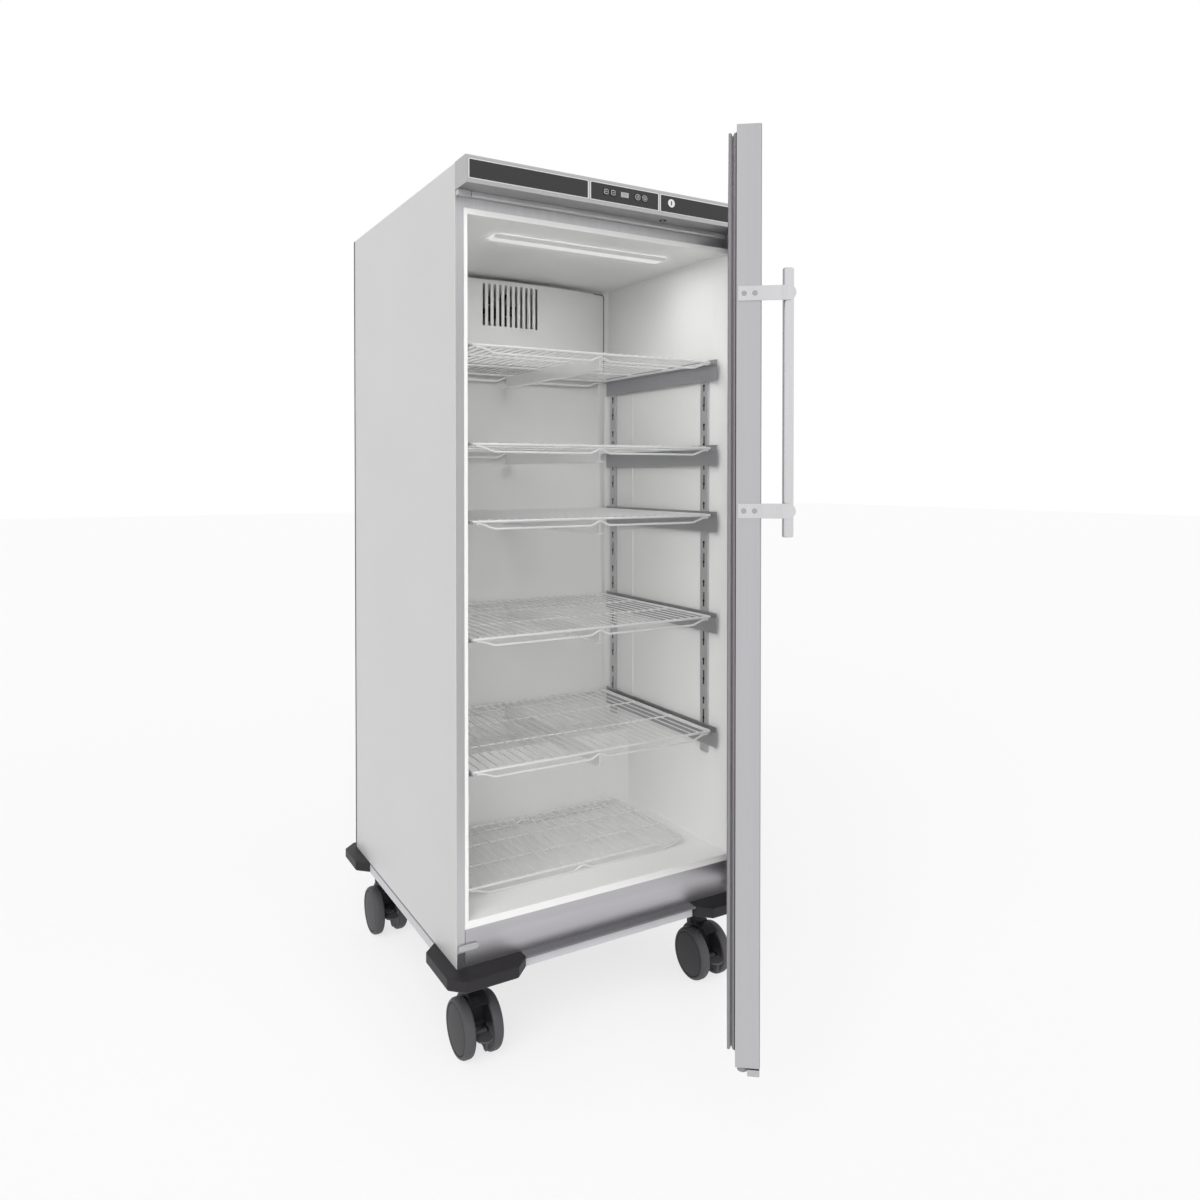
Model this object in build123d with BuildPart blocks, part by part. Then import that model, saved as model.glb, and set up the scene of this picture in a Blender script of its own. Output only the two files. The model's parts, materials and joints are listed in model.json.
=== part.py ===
"""An upright insulated cabinet on four braked castors, with its door standing open on five wire shelves.

Millimetres. +X is right and +Y is back for a person who stands in front, +Z is up.
The origin lies on the floor, under the middle of the cabinet body.
"""

import os
from math import cos, radians, sin

from build123d import *

os.makedirs("parts", exist_ok=True)

# Driving sizes of the cabinet body
body_width = 750
body_depth = 748
body_height = 1687
body_base = 226
sheet = 1.5
liner_sheet = 2
stile_width = 19.5
header_height = 21
hinge_rail_height = 12
hinge_rail_reach = 12
fascia_height = 58
fascia_reach = 64

# Driving sizes of the cold room
side_wall = 34
mouth_flare = 6.5
mouth_lip = 12
mouth_depth = 45
flare_depth = 57
room_depth = 575
ceiling_lip = 8
floor_lip = 16
plinth_height = 79
corner_radius = 14
hump_front = 455
hump_height = 205
machine_front = 500
machine_height = 250
pocket_inset = 36
pocket_depth = 85
pocket_height = 220
pocket_drop = 18

# Driving sizes of the door
door_side_gap = 2
door_foot_gap = 33.4
door_head_gap = 5
door_thickness = 41.9
door_sheet = 1
seal_gap = 0.3
inner_face_gap = 14
gasket_width = 13
gasket_inset_side = 18
gasket_inset_top = 8
gasket_inset_bottom = 18.6
pivot_inset = 21.3
pivot_reach = 26.5
door_angle = 51.64

# Driving sizes of shelves and their carriers
shelf_side_gap = 16
shelf_depth = 530
shelf_setback = 38
shelf_levels = (1319, 1105, 937, 682, 394)
rim_wire = 6
cross_wire = 3
support_wire = 4
dip_wire = 5
cross_pitch = 22.5
dip_drop = 19
floor_shelf_gap = 41
floor_shelf_depth = 340
floor_shelf_setback = 95
floor_shelf_shift = -15
upright_width = 30
upright_depth = 6
upright_foot = 235
upright_head = 6
bracket_sheet = 1.5

# Driving sizes of the running gear
pan_sheet = 5
pan_lip = 28
chassis_height = 21
wheel_diameter = 125
wheel_width = 25
wheel_gap = 40
castor_inset = 65
trail = 25
axle_inset = 58

# Clearances: in a bearing, between moving faces, and between a shelf and its ledge
running = 0.05
slack = 0.3

# Places that follow from the driving sizes
left = -body_width / 2
right = body_width / 2
front = -body_depth / 2
back = body_depth / 2
body_top = body_base + body_height
fascia_front = front - fascia_reach
fascia_bottom = body_top - fascia_height
header_top = fascia_bottom - hinge_rail_height
header_bottom = header_top - header_height
stile_inner = right - stile_width
flange_bottom = body_base + plinth_height
room_floor = flange_bottom + floor_lip
mouth_top = header_bottom - mouth_lip
room_top = header_bottom - ceiling_lip
hump_top = room_floor + hump_height
room_width = body_width - 2 * side_wall
mouth_width = room_width + 2 * mouth_flare
pocket_width = room_width - 2 * pocket_inset
shelf_width = room_width - 2 * shelf_side_gap
floor_shelf_width = room_width - 2 * floor_shelf_gap
wall_x = room_width / 2
room_back = front + room_depth
pocket_top = room_top - pocket_drop
pocket_floor = pocket_top - pocket_height
pocket_back = room_back + pocket_depth


def keep(part, name):
    """Label a finished piece and write its STEP file."""
    part.label = name
    export_step(part, f"parts/{name}.step")


def block(x, y, z, mode=Mode.ADD):
    """A box between two limits on each axis."""
    with Locations(((x[0] + x[1]) / 2, (y[0] + y[1]) / 2, (z[0] + z[1]) / 2)):
        Box(abs(x[1] - x[0]), abs(y[1] - y[0]), abs(z[1] - z[0]), mode=mode)


# Casing: one folded sheet makes both sides and the top
with BuildPart() as outer_casing:
    with BuildSketch(Plane.XZ.offset(-back)) as casing_section:
        with Locations((0, body_base + body_height / 2)):
            Rectangle(body_width, body_height)
        fillet(casing_section.vertices().group_by(Axis.Y)[-1], 2 * sheet)
        with Locations((0, body_base + (body_height - sheet) / 2)):
            Rectangle(body_width - 2 * sheet, body_height - sheet, mode=Mode.SUBTRACT)
    extrude(amount=body_depth)
keep(outer_casing.part, "outer_casing")

# Rear panel: one sheet down to the base, slotted where the machine space breathes
vent_slot = (9, 110)
vent_pitch = 26
vent_count = 9
machine_top = body_base + machine_height
with BuildPart() as rear_panel:
    block((left + sheet, right - sheet), (back - sheet, back), (body_base, body_top - sheet))
    with BuildSketch(Plane.XZ.offset(-back)):
        with Locations((-room_width / 4, machine_top - machine_height / 2)):
            with GridLocations(vent_pitch, vent_pitch, vent_count, 1):
                Rectangle(*vent_slot)
        with Locations((room_width / 4, machine_top - machine_height / 2)):
            with GridLocations(vent_pitch, vent_pitch, vent_count, 1):
                Rectangle(*vent_slot)
    extrude(amount=sheet, mode=Mode.SUBTRACT)
keep(rear_panel.part, "rear_panel")

# Front frame: two stiles and a header in folded sheet
with BuildPart() as front_frame:
    with BuildSketch(Plane.XZ.offset(-front - sheet)):
        with BuildLine():
            Polyline(
                (left + sheet, body_base),
                (left + sheet, body_top - sheet),
                (right - sheet, body_top - sheet),
                (right - sheet, body_base),
                (stile_inner, body_base),
                (stile_inner, header_bottom),
                (-stile_inner, header_bottom),
                (-stile_inner, body_base),
                close=True,
            )
        make_face()
    extrude(amount=sheet)
keep(front_frame.part, "front_frame")


def room(grow):
    """The cold room as a solid, grown by a wall: flared mouth, hump over the machine, pocket for the coil."""
    mouth = mouth_width / 2 + grow
    half = wall_x + grow
    rear = room_back + grow
    with BuildPart() as space:
        with BuildSketch(Plane.XY.offset(room_floor - grow)):
            with BuildLine():
                Polyline(
                    (-mouth, front),
                    (-mouth, front + mouth_depth),
                    (-half, front + flare_depth),
                    (-half, rear),
                    (half, rear),
                    (half, front + flare_depth),
                    (mouth, front + mouth_depth),
                    (mouth, front),
                    close=True,
                )
            make_face()
        extrude(amount=mouth_top - room_floor + 2 * grow)
        block((-half, half), (front + flare_depth, rear), (mouth_top, room_top + grow))
        if not grow:
            upright_edges = space.edges().filter_by(Axis.Z).group_by(Axis.Y)[-1]
            fillet(upright_edges, corner_radius)
        block(
            (-half - 1, half + 1),
            (front + hump_front + grow, rear + 1),
            (room_floor - grow - 1, hump_top - grow),
            mode=Mode.SUBTRACT,
        )
        block(
            (-pocket_width / 2 - grow, pocket_width / 2 + grow),
            (room_back - corner_radius, pocket_back + grow),
            (pocket_floor - grow, pocket_top + grow),
        )
    return space.part


# Inner liner: a moulded tub with a flange that fills the frame's opening
with BuildPart() as inner_liner:
    add(room(liner_sheet))
    block((-stile_inner, stile_inner), (front, front + liner_sheet), (flange_bottom, header_bottom))
    add(room(0), mode=Mode.SUBTRACT)
keep(inner_liner.part, "inner_liner")

# Insulation: foamed in place between the liner and the casing, open for the machine space
with BuildPart() as insulation_foam:
    block((left + sheet, right - sheet), (front + sheet, back - sheet), (body_base, body_top - sheet))
    block(
        (-stile_inner, stile_inner),
        (front, front + liner_sheet),
        (body_base, header_bottom),
        mode=Mode.SUBTRACT,
    )
    block((left, right), (front + machine_front, back), (body_base, machine_top), mode=Mode.SUBTRACT)
    add(room(liner_sheet), mode=Mode.SUBTRACT)
keep(insulation_foam.part, "insulation_foam")

# Control housing: an aluminium hood with recesses for three dark panes
pane_edges = {
    "left": (left + 5, left + 282),
    "centre": (left + 288.5, left + 466),
    "right": (left + 472, right - 5),
}
pane_height = 38
pane_sheet = 2.5
pane_low = fascia_bottom + 9.6
housing_wall = 4.5
nose = 6
control_row = fascia_bottom + 31
key_size = 14
key_round = 16
key_length = 8
key_proud = 1.4
square_keys = {"key_up": left + 327, "key_down": left + 345}
round_keys = {"key_light": left + 409.5, "key_power": left + 428}
display_x = left + 376
display_size = (20, 11)
lock_x = left + 501
lock_radius = 9.5
lock_length = 47
lock_proud = 2
bolt_radius = 4
bolt_y = front - 31
bolt_hang = 1
bolt_hole = 5
control_face = Plane.XZ.offset(-fascia_front)


def key_outlines(gap):
    """The outlines of the four keys on a sketch of the front face, larger by a gap all round."""
    with Locations(*[(x, control_row) for x in square_keys.values()]):
        RectangleRounded(key_size + 2 * gap, key_size + 2 * gap, 2 + gap)
    with Locations(*[(x, control_row) for x in round_keys.values()]):
        Circle(key_round / 2 + gap)


with BuildPart() as control_housing:
    with BuildSketch(Plane.YZ.offset(left)):
        with BuildLine():
            Polyline(
                (front, fascia_bottom),
                (fascia_front, fascia_bottom),
                (fascia_front, body_top - nose),
                (fascia_front + nose, body_top),
                (front, body_top),
                close=True,
            )
        make_face()
    extrude(amount=body_width)
    block(
        (left + housing_wall, right - housing_wall),
        (fascia_front + housing_wall, front),
        (fascia_bottom + housing_wall, body_top - housing_wall),
        mode=Mode.SUBTRACT,
    )
    for low, high in pane_edges.values():
        block(
            (low, high),
            (fascia_front, fascia_front + pane_sheet),
            (pane_low, pane_low + pane_height),
            mode=Mode.SUBTRACT,
        )
    with BuildSketch(control_face):
        key_outlines(slack)
        with Locations((lock_x, control_row)):
            Circle(lock_radius + running)
    extrude(amount=-housing_wall, mode=Mode.SUBTRACT)
    with BuildSketch(Plane.XY.offset(fascia_bottom)):
        with Locations((lock_x, bolt_y)):
            Circle(bolt_radius + running)
    extrude(amount=housing_wall, mode=Mode.SUBTRACT)
keep(control_housing.part, "control_housing")

# Panes: dark glossy sheets let into the housing, the middle and right ones pierced
for name, (low, high) in pane_edges.items():
    with BuildPart() as pane:
        block((low, high), (fascia_front, fascia_front + pane_sheet), (pane_low, pane_low + pane_height))
        if name == "centre":
            with BuildSketch(control_face):
                key_outlines(slack)
                with Locations((display_x, control_row)):
                    Rectangle(*display_size)
            extrude(amount=-pane_sheet, mode=Mode.SUBTRACT)
        if name == "right":
            with BuildSketch(control_face):
                with Locations((lock_x, control_row)):
                    Circle(lock_radius + running)
            extrude(amount=-pane_sheet, mode=Mode.SUBTRACT)
    keep(pane.part, f"fascia_pane_{name}")

# Display window: a clear block flush with its pane
with BuildPart() as display_window:
    with BuildSketch(control_face):
        with Locations((display_x, control_row)):
            Rectangle(*display_size)
    extrude(amount=-pane_sheet)
keep(display_window.part, "display_window")

# Keys: two square and two round caps that travel inwards
for name, x in (square_keys | round_keys).items():
    with BuildPart() as key:
        with BuildSketch(control_face.offset(key_proud)):
            with Locations((x, control_row)):
                if name in square_keys:
                    RectangleRounded(key_size, key_size, 2)
                else:
                    Circle(key_round / 2)
        extrude(amount=-key_length)
    keep(key.part, name)

# Lock: a turned barrel with a key slot, over a bolt that drops into the door's top edge
with BuildPart() as lock_cylinder:
    with BuildSketch(control_face.offset(lock_proud)):
        with Locations((lock_x, control_row)):
            Circle(lock_radius)
    extrude(amount=-lock_length)
    block(
        (lock_x - 1, lock_x + 1),
        (fascia_front - lock_proud, fascia_front + lock_proud),
        (control_row - lock_radius / 2, control_row + lock_radius / 2),
        mode=Mode.SUBTRACT,
    )
keep(lock_cylinder.part, "lock_cylinder")

with BuildPart() as lock_bolt:
    with BuildSketch(Plane.XY.offset(fascia_bottom - bolt_hang)):
        with Locations((lock_x, bolt_y)):
            Circle(bolt_radius)
    extrude(amount=control_row - lock_radius - slack - fascia_bottom + bolt_hang)
keep(lock_bolt.part, "lock_bolt")

# Hinge rail: a strip under the housing, cut short of the hinge so that the door's heel swings clear
hinge_rail_end = right - 50
with BuildPart() as hinge_rail:
    block((left + sheet, hinge_rail_end), (front - hinge_rail_reach, front), (header_top, fascia_bottom))
    chamfer(hinge_rail.edges().filter_by(Axis.X).group_by(Axis.Y)[0].sort_by(Axis.Z)[0], 3)
keep(hinge_rail.part, "hinge_rail")

# Hinges: a flat top arm and a folded bottom arm, each with its pin
pivot_x = right - pivot_inset
pivot_y = front - pivot_reach
top_pin = 4
top_pin_length = 20
bottom_pin = 5
bottom_pin_length = 32
arm_sheet = 3
arm_nose = 13
arm_width = 34
bush_drop = 14.4
door_bottom = body_base + door_foot_gap
door_top = fascia_bottom - door_head_gap
top_arm_low = fascia_bottom - arm_sheet


def hinge_arm(low):
    """A flat arm from the cabinet's front face out round the pivot."""
    with BuildSketch(Plane.XY.offset(low)) as outline:
        with Locations((pivot_x, front - pivot_reach / 2)):
            Rectangle(arm_width, pivot_reach)
        with Locations((pivot_x, pivot_y)):
            Circle(arm_nose)
    extrude(outline.sketch, amount=arm_sheet)


def pin(low, high, radius):
    """A round pin on the door's pivot line."""
    with BuildSketch(Plane.XY.offset(low)) as outline:
        with Locations((pivot_x, pivot_y)):
            Circle(radius)
    extrude(outline.sketch, amount=high - low)


with BuildPart() as hinge_bracket_top:
    hinge_arm(top_arm_low)
    pin(top_arm_low - top_pin_length, top_arm_low, top_pin)
keep(hinge_bracket_top.part, "hinge_bracket_top")

arm_top = door_bottom - bush_drop - slack
with BuildPart() as hinge_bracket_bottom:
    hinge_arm(arm_top - arm_sheet)
    block(
        (pivot_x - arm_width / 2, pivot_x + arm_width / 2),
        (front - arm_sheet, front),
        (body_base + 2, arm_top),
    )
    pin(arm_top, arm_top + bottom_pin_length, bottom_pin)
keep(hinge_bracket_bottom.part, "hinge_bracket_bottom")

# Hinge blanks: caps over the unused hinge seats on the left
blank_size = (45, 12)
with BuildPart() as hinge_blanks:
    block(
        (left + sheet, left + 31),
        (front - hinge_rail_reach - sheet, front - hinge_rail_reach),
        (header_top, fascia_bottom),
    )
    with BuildSketch(Plane.XZ.offset(-front)):
        with Locations((left + 26.5, body_base + 42)):
            SlotOverall(*blank_size)
    extrude(amount=6)
keep(hinge_blanks.part, "hinge_blanks")

# Plinth: a brushed sheet that closes the front below the liner
with BuildPart() as plinth_panel:
    block((-stile_inner, stile_inner), (front, front + liner_sheet), (body_base, flange_bottom))
keep(plinth_panel.part, "plinth_panel")

# Bumpers: four moulded corner blocks with bevelled ends
bumper_side = 31
bumper_front = 57
bumper_back = 30
bumper_bevel = 31
bumper_leg_front = 149
bumper_leg_side = 131
bumper_edge = 4

# Base pan: closes the body from below and shows as a lip between the front bumpers
pan_bottom = body_base - pan_sheet
lip_end = right - bumper_leg_front
with BuildPart() as base_pan:
    block((left, right), (front, back), (pan_bottom, body_base))
    block((-lip_end, lip_end), (front - pan_lip, front), (pan_bottom, body_base))
    chamfer(base_pan.faces().sort_by(Axis.Y)[0].edges().filter_by(Axis.X), 1.2)
keep(base_pan.part, "base_pan")

# Chassis: a welded rail frame with a pad in each corner for a castor
chassis_bottom = pan_bottom - chassis_height
rail_width = 30
pad = (112, 132)
pad_sheet = 5
corners = [(sx, sy) for sx in (-1, 1) for sy in (-1, 1)]
with BuildPart() as chassis_frame:
    with BuildSketch(Plane.XY.offset(chassis_bottom)):
        Rectangle(body_width, body_depth)
        Rectangle(body_width - 2 * rail_width, body_depth - 2 * rail_width, mode=Mode.SUBTRACT)
    extrude(amount=chassis_height)
    for sx, sy in corners:
        block(
            (sx * body_width / 2, sx * (body_width / 2 - pad[0])),
            (sy * body_depth / 2, sy * (body_depth / 2 - pad[1])),
            (chassis_bottom, chassis_bottom + pad_sheet),
        )
keep(chassis_frame.part, "chassis_frame")


def bumper(sx, sy, reach):
    """One corner block, drawn in its corner by the signs, bevelled in plan and along its lower edge."""
    x = sx * body_width / 2
    y = sy * body_depth / 2
    with BuildPart(mode=Mode.PRIVATE) as moulding:
        with BuildSketch(Plane.XY.offset(chassis_bottom)):
            with BuildLine():
                Polyline(
                    (x, y),
                    (x, y - sy * bumper_leg_side),
                    (x + sx * bumper_side, y - sy * (bumper_leg_side - bumper_bevel)),
                    (x + sx * bumper_side, y + sy * (reach - bumper_bevel)),
                    (x, y + sy * reach),
                    (x - sx * (bumper_leg_front - bumper_bevel), y + sy * reach),
                    (x - sx * bumper_leg_front, y + sy * max(reach - bumper_bevel, 2)),
                    (x - sx * bumper_leg_front, y),
                    close=True,
                )
            make_face()
        extrude(amount=body_base - chassis_bottom)
        low_face = moulding.faces().sort_by(Axis.Z)[0]
        outer_edges = [
            edge
            for edge in low_face.edges()
            if sx * edge.center().X > body_width / 2 + 1 or sy * edge.center().Y > body_depth / 2 + 1
        ]
        chamfer(outer_edges, bumper_edge)
    return moulding.part


with BuildPart() as corner_bumpers:
    for sx, sy in corners:
        add(bumper(sx, sy, bumper_front if sy < 0 else bumper_back))
keep(corner_bumpers.part, "corner_bumpers")

# Castors: plate, swivelling hooded fork, twin wheels on one axle, brake pedal
plate_size = (88, 66)
plate_sheet = 6
plate_bottom = chassis_bottom - plate_sheet
wheel_radius = wheel_diameter / 2
hood_inner = wheel_radius + 2.5
hood_outer = hood_inner + 5
web_width = wheel_gap - 4
cheek = 3
axle_radius = 6
neck_radius = 22
head_radius = 30
head_height = 22
spigot_radius = 10
pedal_pin = 3
pedal_y = -30
pedal_z = -4
pedal_hub = 7
tread_half = wheel_gap / 2 - 2
tread_reach = 54
tread_sheet = 4
rib_drop = 24
castors = {
    "front_left": (left + castor_inset, front + axle_inset),
    "front_right": (right - castor_inset, front + axle_inset),
    "rear_left": (left + castor_inset, back - axle_inset),
    "rear_right": (right - castor_inset, back - axle_inset),
}

with BuildPart() as castor_plates:
    with BuildSketch(Plane.XY.offset(plate_bottom)):
        with Locations(*[(x, y + trail) for x, y in castors.values()]):
            Rectangle(*plate_size)
            Circle(spigot_radius + running, mode=Mode.SUBTRACT)
    extrude(amount=plate_sheet)
keep(castor_plates.part, "castor_plates")


def post(x, y, low, high, radius):
    """A round post on a vertical line."""
    with BuildSketch(Plane.XY.offset(low)) as outline:
        with Locations((x, y)):
            Circle(radius)
    extrude(outline.sketch, amount=high - low)


def castor_fork(x, y):
    """Swivel head and neck over a web with the axle hole, two cheeks for the pedal, and a hood between the discs."""
    neck_low = wheel_radius + hood_inner
    head_top = plate_bottom - slack
    with BuildPart() as fork:
        with BuildSketch(Plane.YZ.offset(x - web_width / 2)):
            with Locations((y, wheel_radius)):
                Circle(hood_inner)
            with Locations((y - hood_inner, wheel_radius)):
                Rectangle(2 * hood_inner - 2 * axle_radius, 3 * hood_inner, mode=Mode.SUBTRACT)
            with Locations((y + hood_inner / 2, wheel_radius - hood_inner)):
                Rectangle(2 * hood_inner, 2 * hood_inner - 4 * axle_radius, mode=Mode.SUBTRACT)
            with Locations((y, wheel_radius)):
                Circle(2 * axle_radius)
                Circle(axle_radius + running, mode=Mode.SUBTRACT)
            with Locations((y + trail - 2, neck_low)):
                Rectangle(2 * neck_radius - 6, 16)
        extrude(amount=web_width)
        for cheek_x in (x - web_width / 2, x + web_width / 2 - cheek):
            with BuildSketch(Plane.YZ.offset(cheek_x)):
                with Locations((y + pedal_y, wheel_radius + pedal_z)):
                    Circle(pedal_hub)
                with Locations((y + (pedal_y - 2 * axle_radius) / 2, wheel_radius + pedal_z)):
                    Rectangle(2 * axle_radius - pedal_y - 8, 2 * pedal_hub)
                with Locations((y, wheel_radius)):
                    Circle(axle_radius + running, mode=Mode.SUBTRACT)
            extrude(amount=cheek)
        with BuildSketch(Plane.YZ.offset(x - web_width / 2 + cheek)):
            with Locations((y + pedal_y, wheel_radius + pedal_z)):
                Circle(pedal_pin)
        extrude(amount=web_width - 2 * cheek)
        with BuildSketch(Plane.YZ.offset(x - web_width / 2)):
            with BuildLine():
                hood_from = -12
                hood_to = 122
                CenterArc((y, wheel_radius), hood_outer, hood_from, hood_to - hood_from)
                CenterArc((y, wheel_radius), hood_inner, hood_from, hood_to - hood_from)
                for angle in (hood_from, hood_to):
                    turn = (cos(radians(angle)), sin(radians(angle)))
                    Line(
                        (y + hood_inner * turn[0], wheel_radius + hood_inner * turn[1]),
                        (y + hood_outer * turn[0], wheel_radius + hood_outer * turn[1]),
                    )
            make_face()
        extrude(amount=web_width)
        post(x, y + trail, neck_low, head_top - head_height, neck_radius)
        post(x, y + trail, head_top - head_height, head_top, head_radius)
        post(x, y + trail, head_top, head_top + plate_sheet, spigot_radius)
    return fork.part


def castor_wheels(x, y):
    """Two discs with bevelled shoulders on one axle."""
    shoulder = 6
    with BuildPart() as wheels:
        for sx in (-1, 1):
            inner = x + sx * wheel_gap / 2
            outer = inner + sx * wheel_width
            with BuildSketch(Plane.XZ.offset(-y)):
                with BuildLine():
                    Polyline(
                        (inner, wheel_radius),
                        (inner, wheel_diameter),
                        (outer - sx * shoulder, wheel_diameter),
                        (outer, wheel_diameter - shoulder),
                        (outer, wheel_radius),
                        close=True,
                    )
                make_face()
            revolve(axis=Axis((x, y, wheel_radius), (1, 0, 0)))
        with BuildSketch(Plane.YZ.offset(x - wheel_gap / 2)):
            with Locations((y, wheel_radius)):
                Circle(axle_radius)
        extrude(amount=wheel_gap)
    return wheels.part


def brake_pedal(x, y):
    """A half-round tread on a ribbed arm that reaches between the wheels to its pin."""
    pivot_z = wheel_radius + pedal_z
    tread_y = y - tread_reach
    hub_y = y + pedal_y
    heel_y = hub_y - pedal_hub - 2
    arm_half = web_width / 2 - cheek - 1
    with BuildPart() as pedal:
        with BuildSketch(Plane.XY.offset(pivot_z - tread_sheet / 2)):
            with Locations((x, tread_y)):
                Circle(tread_half)
            with Locations((x, (tread_y + heel_y) / 2)):
                Rectangle(2 * tread_half, heel_y - tread_y)
            with Locations((x, (tread_y + hub_y) / 2)):
                Rectangle(2 * arm_half, hub_y - tread_y)
        extrude(amount=tread_sheet)
        with BuildSketch(Plane.YZ.offset(x - arm_half)):
            with Locations((hub_y, pivot_z)):
                Circle(pedal_hub - 1)
        extrude(amount=2 * arm_half)
        with BuildSketch(Plane.YZ.offset(x - tread_sheet / 2)):
            with BuildLine():
                Polyline(
                    (tread_y - tread_half + tread_sheet, pivot_z),
                    (tread_y - tread_half / 2, pivot_z - rib_drop),
                    (tread_y, pivot_z - rib_drop),
                    (hub_y, pivot_z),
                    close=True,
                )
            make_face()
        extrude(amount=tread_sheet)
        with BuildSketch(Plane.YZ.offset(x - arm_half)):
            with Locations((hub_y, pivot_z)):
                Circle(pedal_pin + running)
        extrude(amount=2 * arm_half, mode=Mode.SUBTRACT)
    return pedal.part


for corner, (x, y) in castors.items():
    keep(castor_fork(x, y), f"castor_fork_{corner}")
    keep(castor_wheels(x, y), f"castor_wheels_{corner}")
    keep(brake_pedal(x, y), f"brake_pedal_{corner}")

# Ceiling light: a long frosted diffuser
light_size = (470, 68)
light_drop = 6
with BuildPart() as light_diffuser:
    with BuildSketch(Plane.XY.offset(room_top)):
        with Locations((left + 385, front + 156)):
            RectangleRounded(*light_size, 8)
    extrude(amount=-light_drop)
    chamfer(light_diffuser.faces().sort_by(Axis.Z)[0].edges(), 3)
keep(light_diffuser.part, "light_diffuser")

# Air duct cover: a bowed moulding over the coil pocket, slotted in front of the fan
duct_side_gap = 17
duct_height = 231
duct_head_gap = 12
duct_bow = 36
duct_edge = 4
duct_wall = 2.5
slot_count = 11
slot_pitch = 16.1
slot_width = 7
slot_height = 114
slot_drop = 12
duct_width = room_width - 2 * duct_side_gap
duct_top = room_top - duct_head_gap
duct_bottom = duct_top - duct_height
vent_x = left + 377.5
vent_z = duct_top - slot_drop - slot_height / 2


def bowed_outline(inset):
    """Plan outline of the cover, between the rear wall and a shallow arc."""
    half = duct_width / 2 - inset
    edge = room_back - duct_edge + inset
    Polyline((-half, edge), (-half, room_back), (half, room_back), (half, edge))
    ThreePointArc((half, edge), (0, room_back - duct_edge - duct_bow + inset), (-half, edge))


with BuildPart() as air_duct_cover:
    with BuildSketch(Plane.XY.offset(duct_bottom)):
        with BuildLine():
            bowed_outline(0)
        make_face()
    extrude(amount=duct_height)
    with BuildSketch(Plane.XY.offset(duct_bottom + duct_wall)):
        with BuildLine():
            bowed_outline(duct_wall)
        make_face()
    extrude(amount=duct_height - 2 * duct_wall, mode=Mode.SUBTRACT)
    with BuildSketch(Plane.XZ.offset(-room_back + duct_edge)):
        with Locations((vent_x, vent_z)):
            with GridLocations(slot_pitch, 1, slot_count, 1):
                Rectangle(slot_width, slot_height)
    extrude(amount=duct_bow + duct_edge, mode=Mode.SUBTRACT)
keep(air_duct_cover.part, "air_duct_cover")

# Evaporator: a fin pack on two tube rows, against the pocket's back
fin_count = 12
fin_sheet = 2
coil_width = 460
coil_height = 80
coil_gap = 14
tube = 10
coil_low = pocket_floor + coil_gap
coil_front = room_back + coil_gap
with BuildPart() as evaporator_coil:
    with Locations((0, (coil_front + pocket_back) / 2, coil_low + coil_height / 2)):
        with GridLocations(coil_width / (fin_count - 1), 1, fin_count, 1):
            Box(fin_sheet, pocket_back - coil_front, coil_height)
    for row in (-1, 1):
        with BuildSketch(Plane.YZ.offset(-coil_width / 2 - coil_gap)):
            with Locations(((coil_front + pocket_back) / 2, coil_low + coil_height / 2 + row * coil_height / 4)):
                RegularPolygon(tube / 2, 6)
        extrude(amount=coil_width + 2 * coil_gap)
keep(evaporator_coil.part, "evaporator_coil")

# Fan: a pitched five-blade rotor on the shaft of a motor fixed to the pocket's back
motor_radius = 22
motor_length = 34
shaft_radius = 3
hub_radius = 16
hub_length = 20
blade_span = 50
blade_chord = 24
blade_pitch = 28
blade_sheet = 2
fan_z = pocket_top - blade_span - 8
motor_front = pocket_back - motor_length
hub_back = motor_front - 3
with BuildPart() as fan_motor:
    with BuildSketch(Plane.XZ.offset(-pocket_back)):
        with Locations((vent_x, fan_z)):
            Circle(motor_radius)
    extrude(amount=motor_length)
    with BuildSketch(Plane.XZ.offset(-motor_front)):
        with Locations((vent_x, fan_z)):
            Circle(shaft_radius)
    extrude(amount=hub_length)
    block((vent_x - 60, vent_x + 60), (pocket_back - 3, pocket_back), (fan_z - 8, fan_z + 8))
keep(fan_motor.part, "fan_motor")

rotor_plane = Plane(origin=(vent_x, hub_back - hub_length / 2, fan_z), x_dir=(1, 0, 0), z_dir=(0, -1, 0))
with BuildPart(rotor_plane) as evaporator_fan:
    Cylinder(hub_radius, hub_length)
    with PolarLocations((hub_radius + blade_span) / 2 - 1, 5):
        Box(blade_span - hub_radius + 2, blade_chord, blade_sheet, rotation=(blade_pitch, 0, 0))
    with Locations((0, 0, -hub_length)):
        Cylinder(shaft_radius + running, 2 * hub_length + 2 * (hub_length - 6), mode=Mode.SUBTRACT)
keep(evaporator_fan.part, "evaporator_fan")

# Compressor: a drawn steel can on a foot plate, bolted to the base pan
can_radius = 80
can_x = left + 215
can_y = front + 632
foot = 14
with BuildPart() as compressor:
    can_low = body_base + foot
    with BuildSketch(Plane.XZ.offset(-can_y)):
        with BuildLine():
            Polyline(
                (can_x, can_low),
                (can_x + can_radius, can_low),
                (can_x + can_radius, can_low + 100),
                (can_x + can_radius - 24, can_low + 154),
                (can_x, can_low + 168),
                close=True,
            )
        make_face()
    revolve(axis=Axis((can_x, can_y, 0), (0, 0, 1)))
    block((can_x - 100, can_x + 100), (can_y - 70, can_y + 70), (can_low - 4, can_low + 2))
    with Locations((can_x, can_y, body_base + (foot - 4) / 2)):
        with GridLocations(170, 110, 2, 2):
            Box(22, 22, foot - 4)
keep(compressor.part, "compressor")

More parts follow.
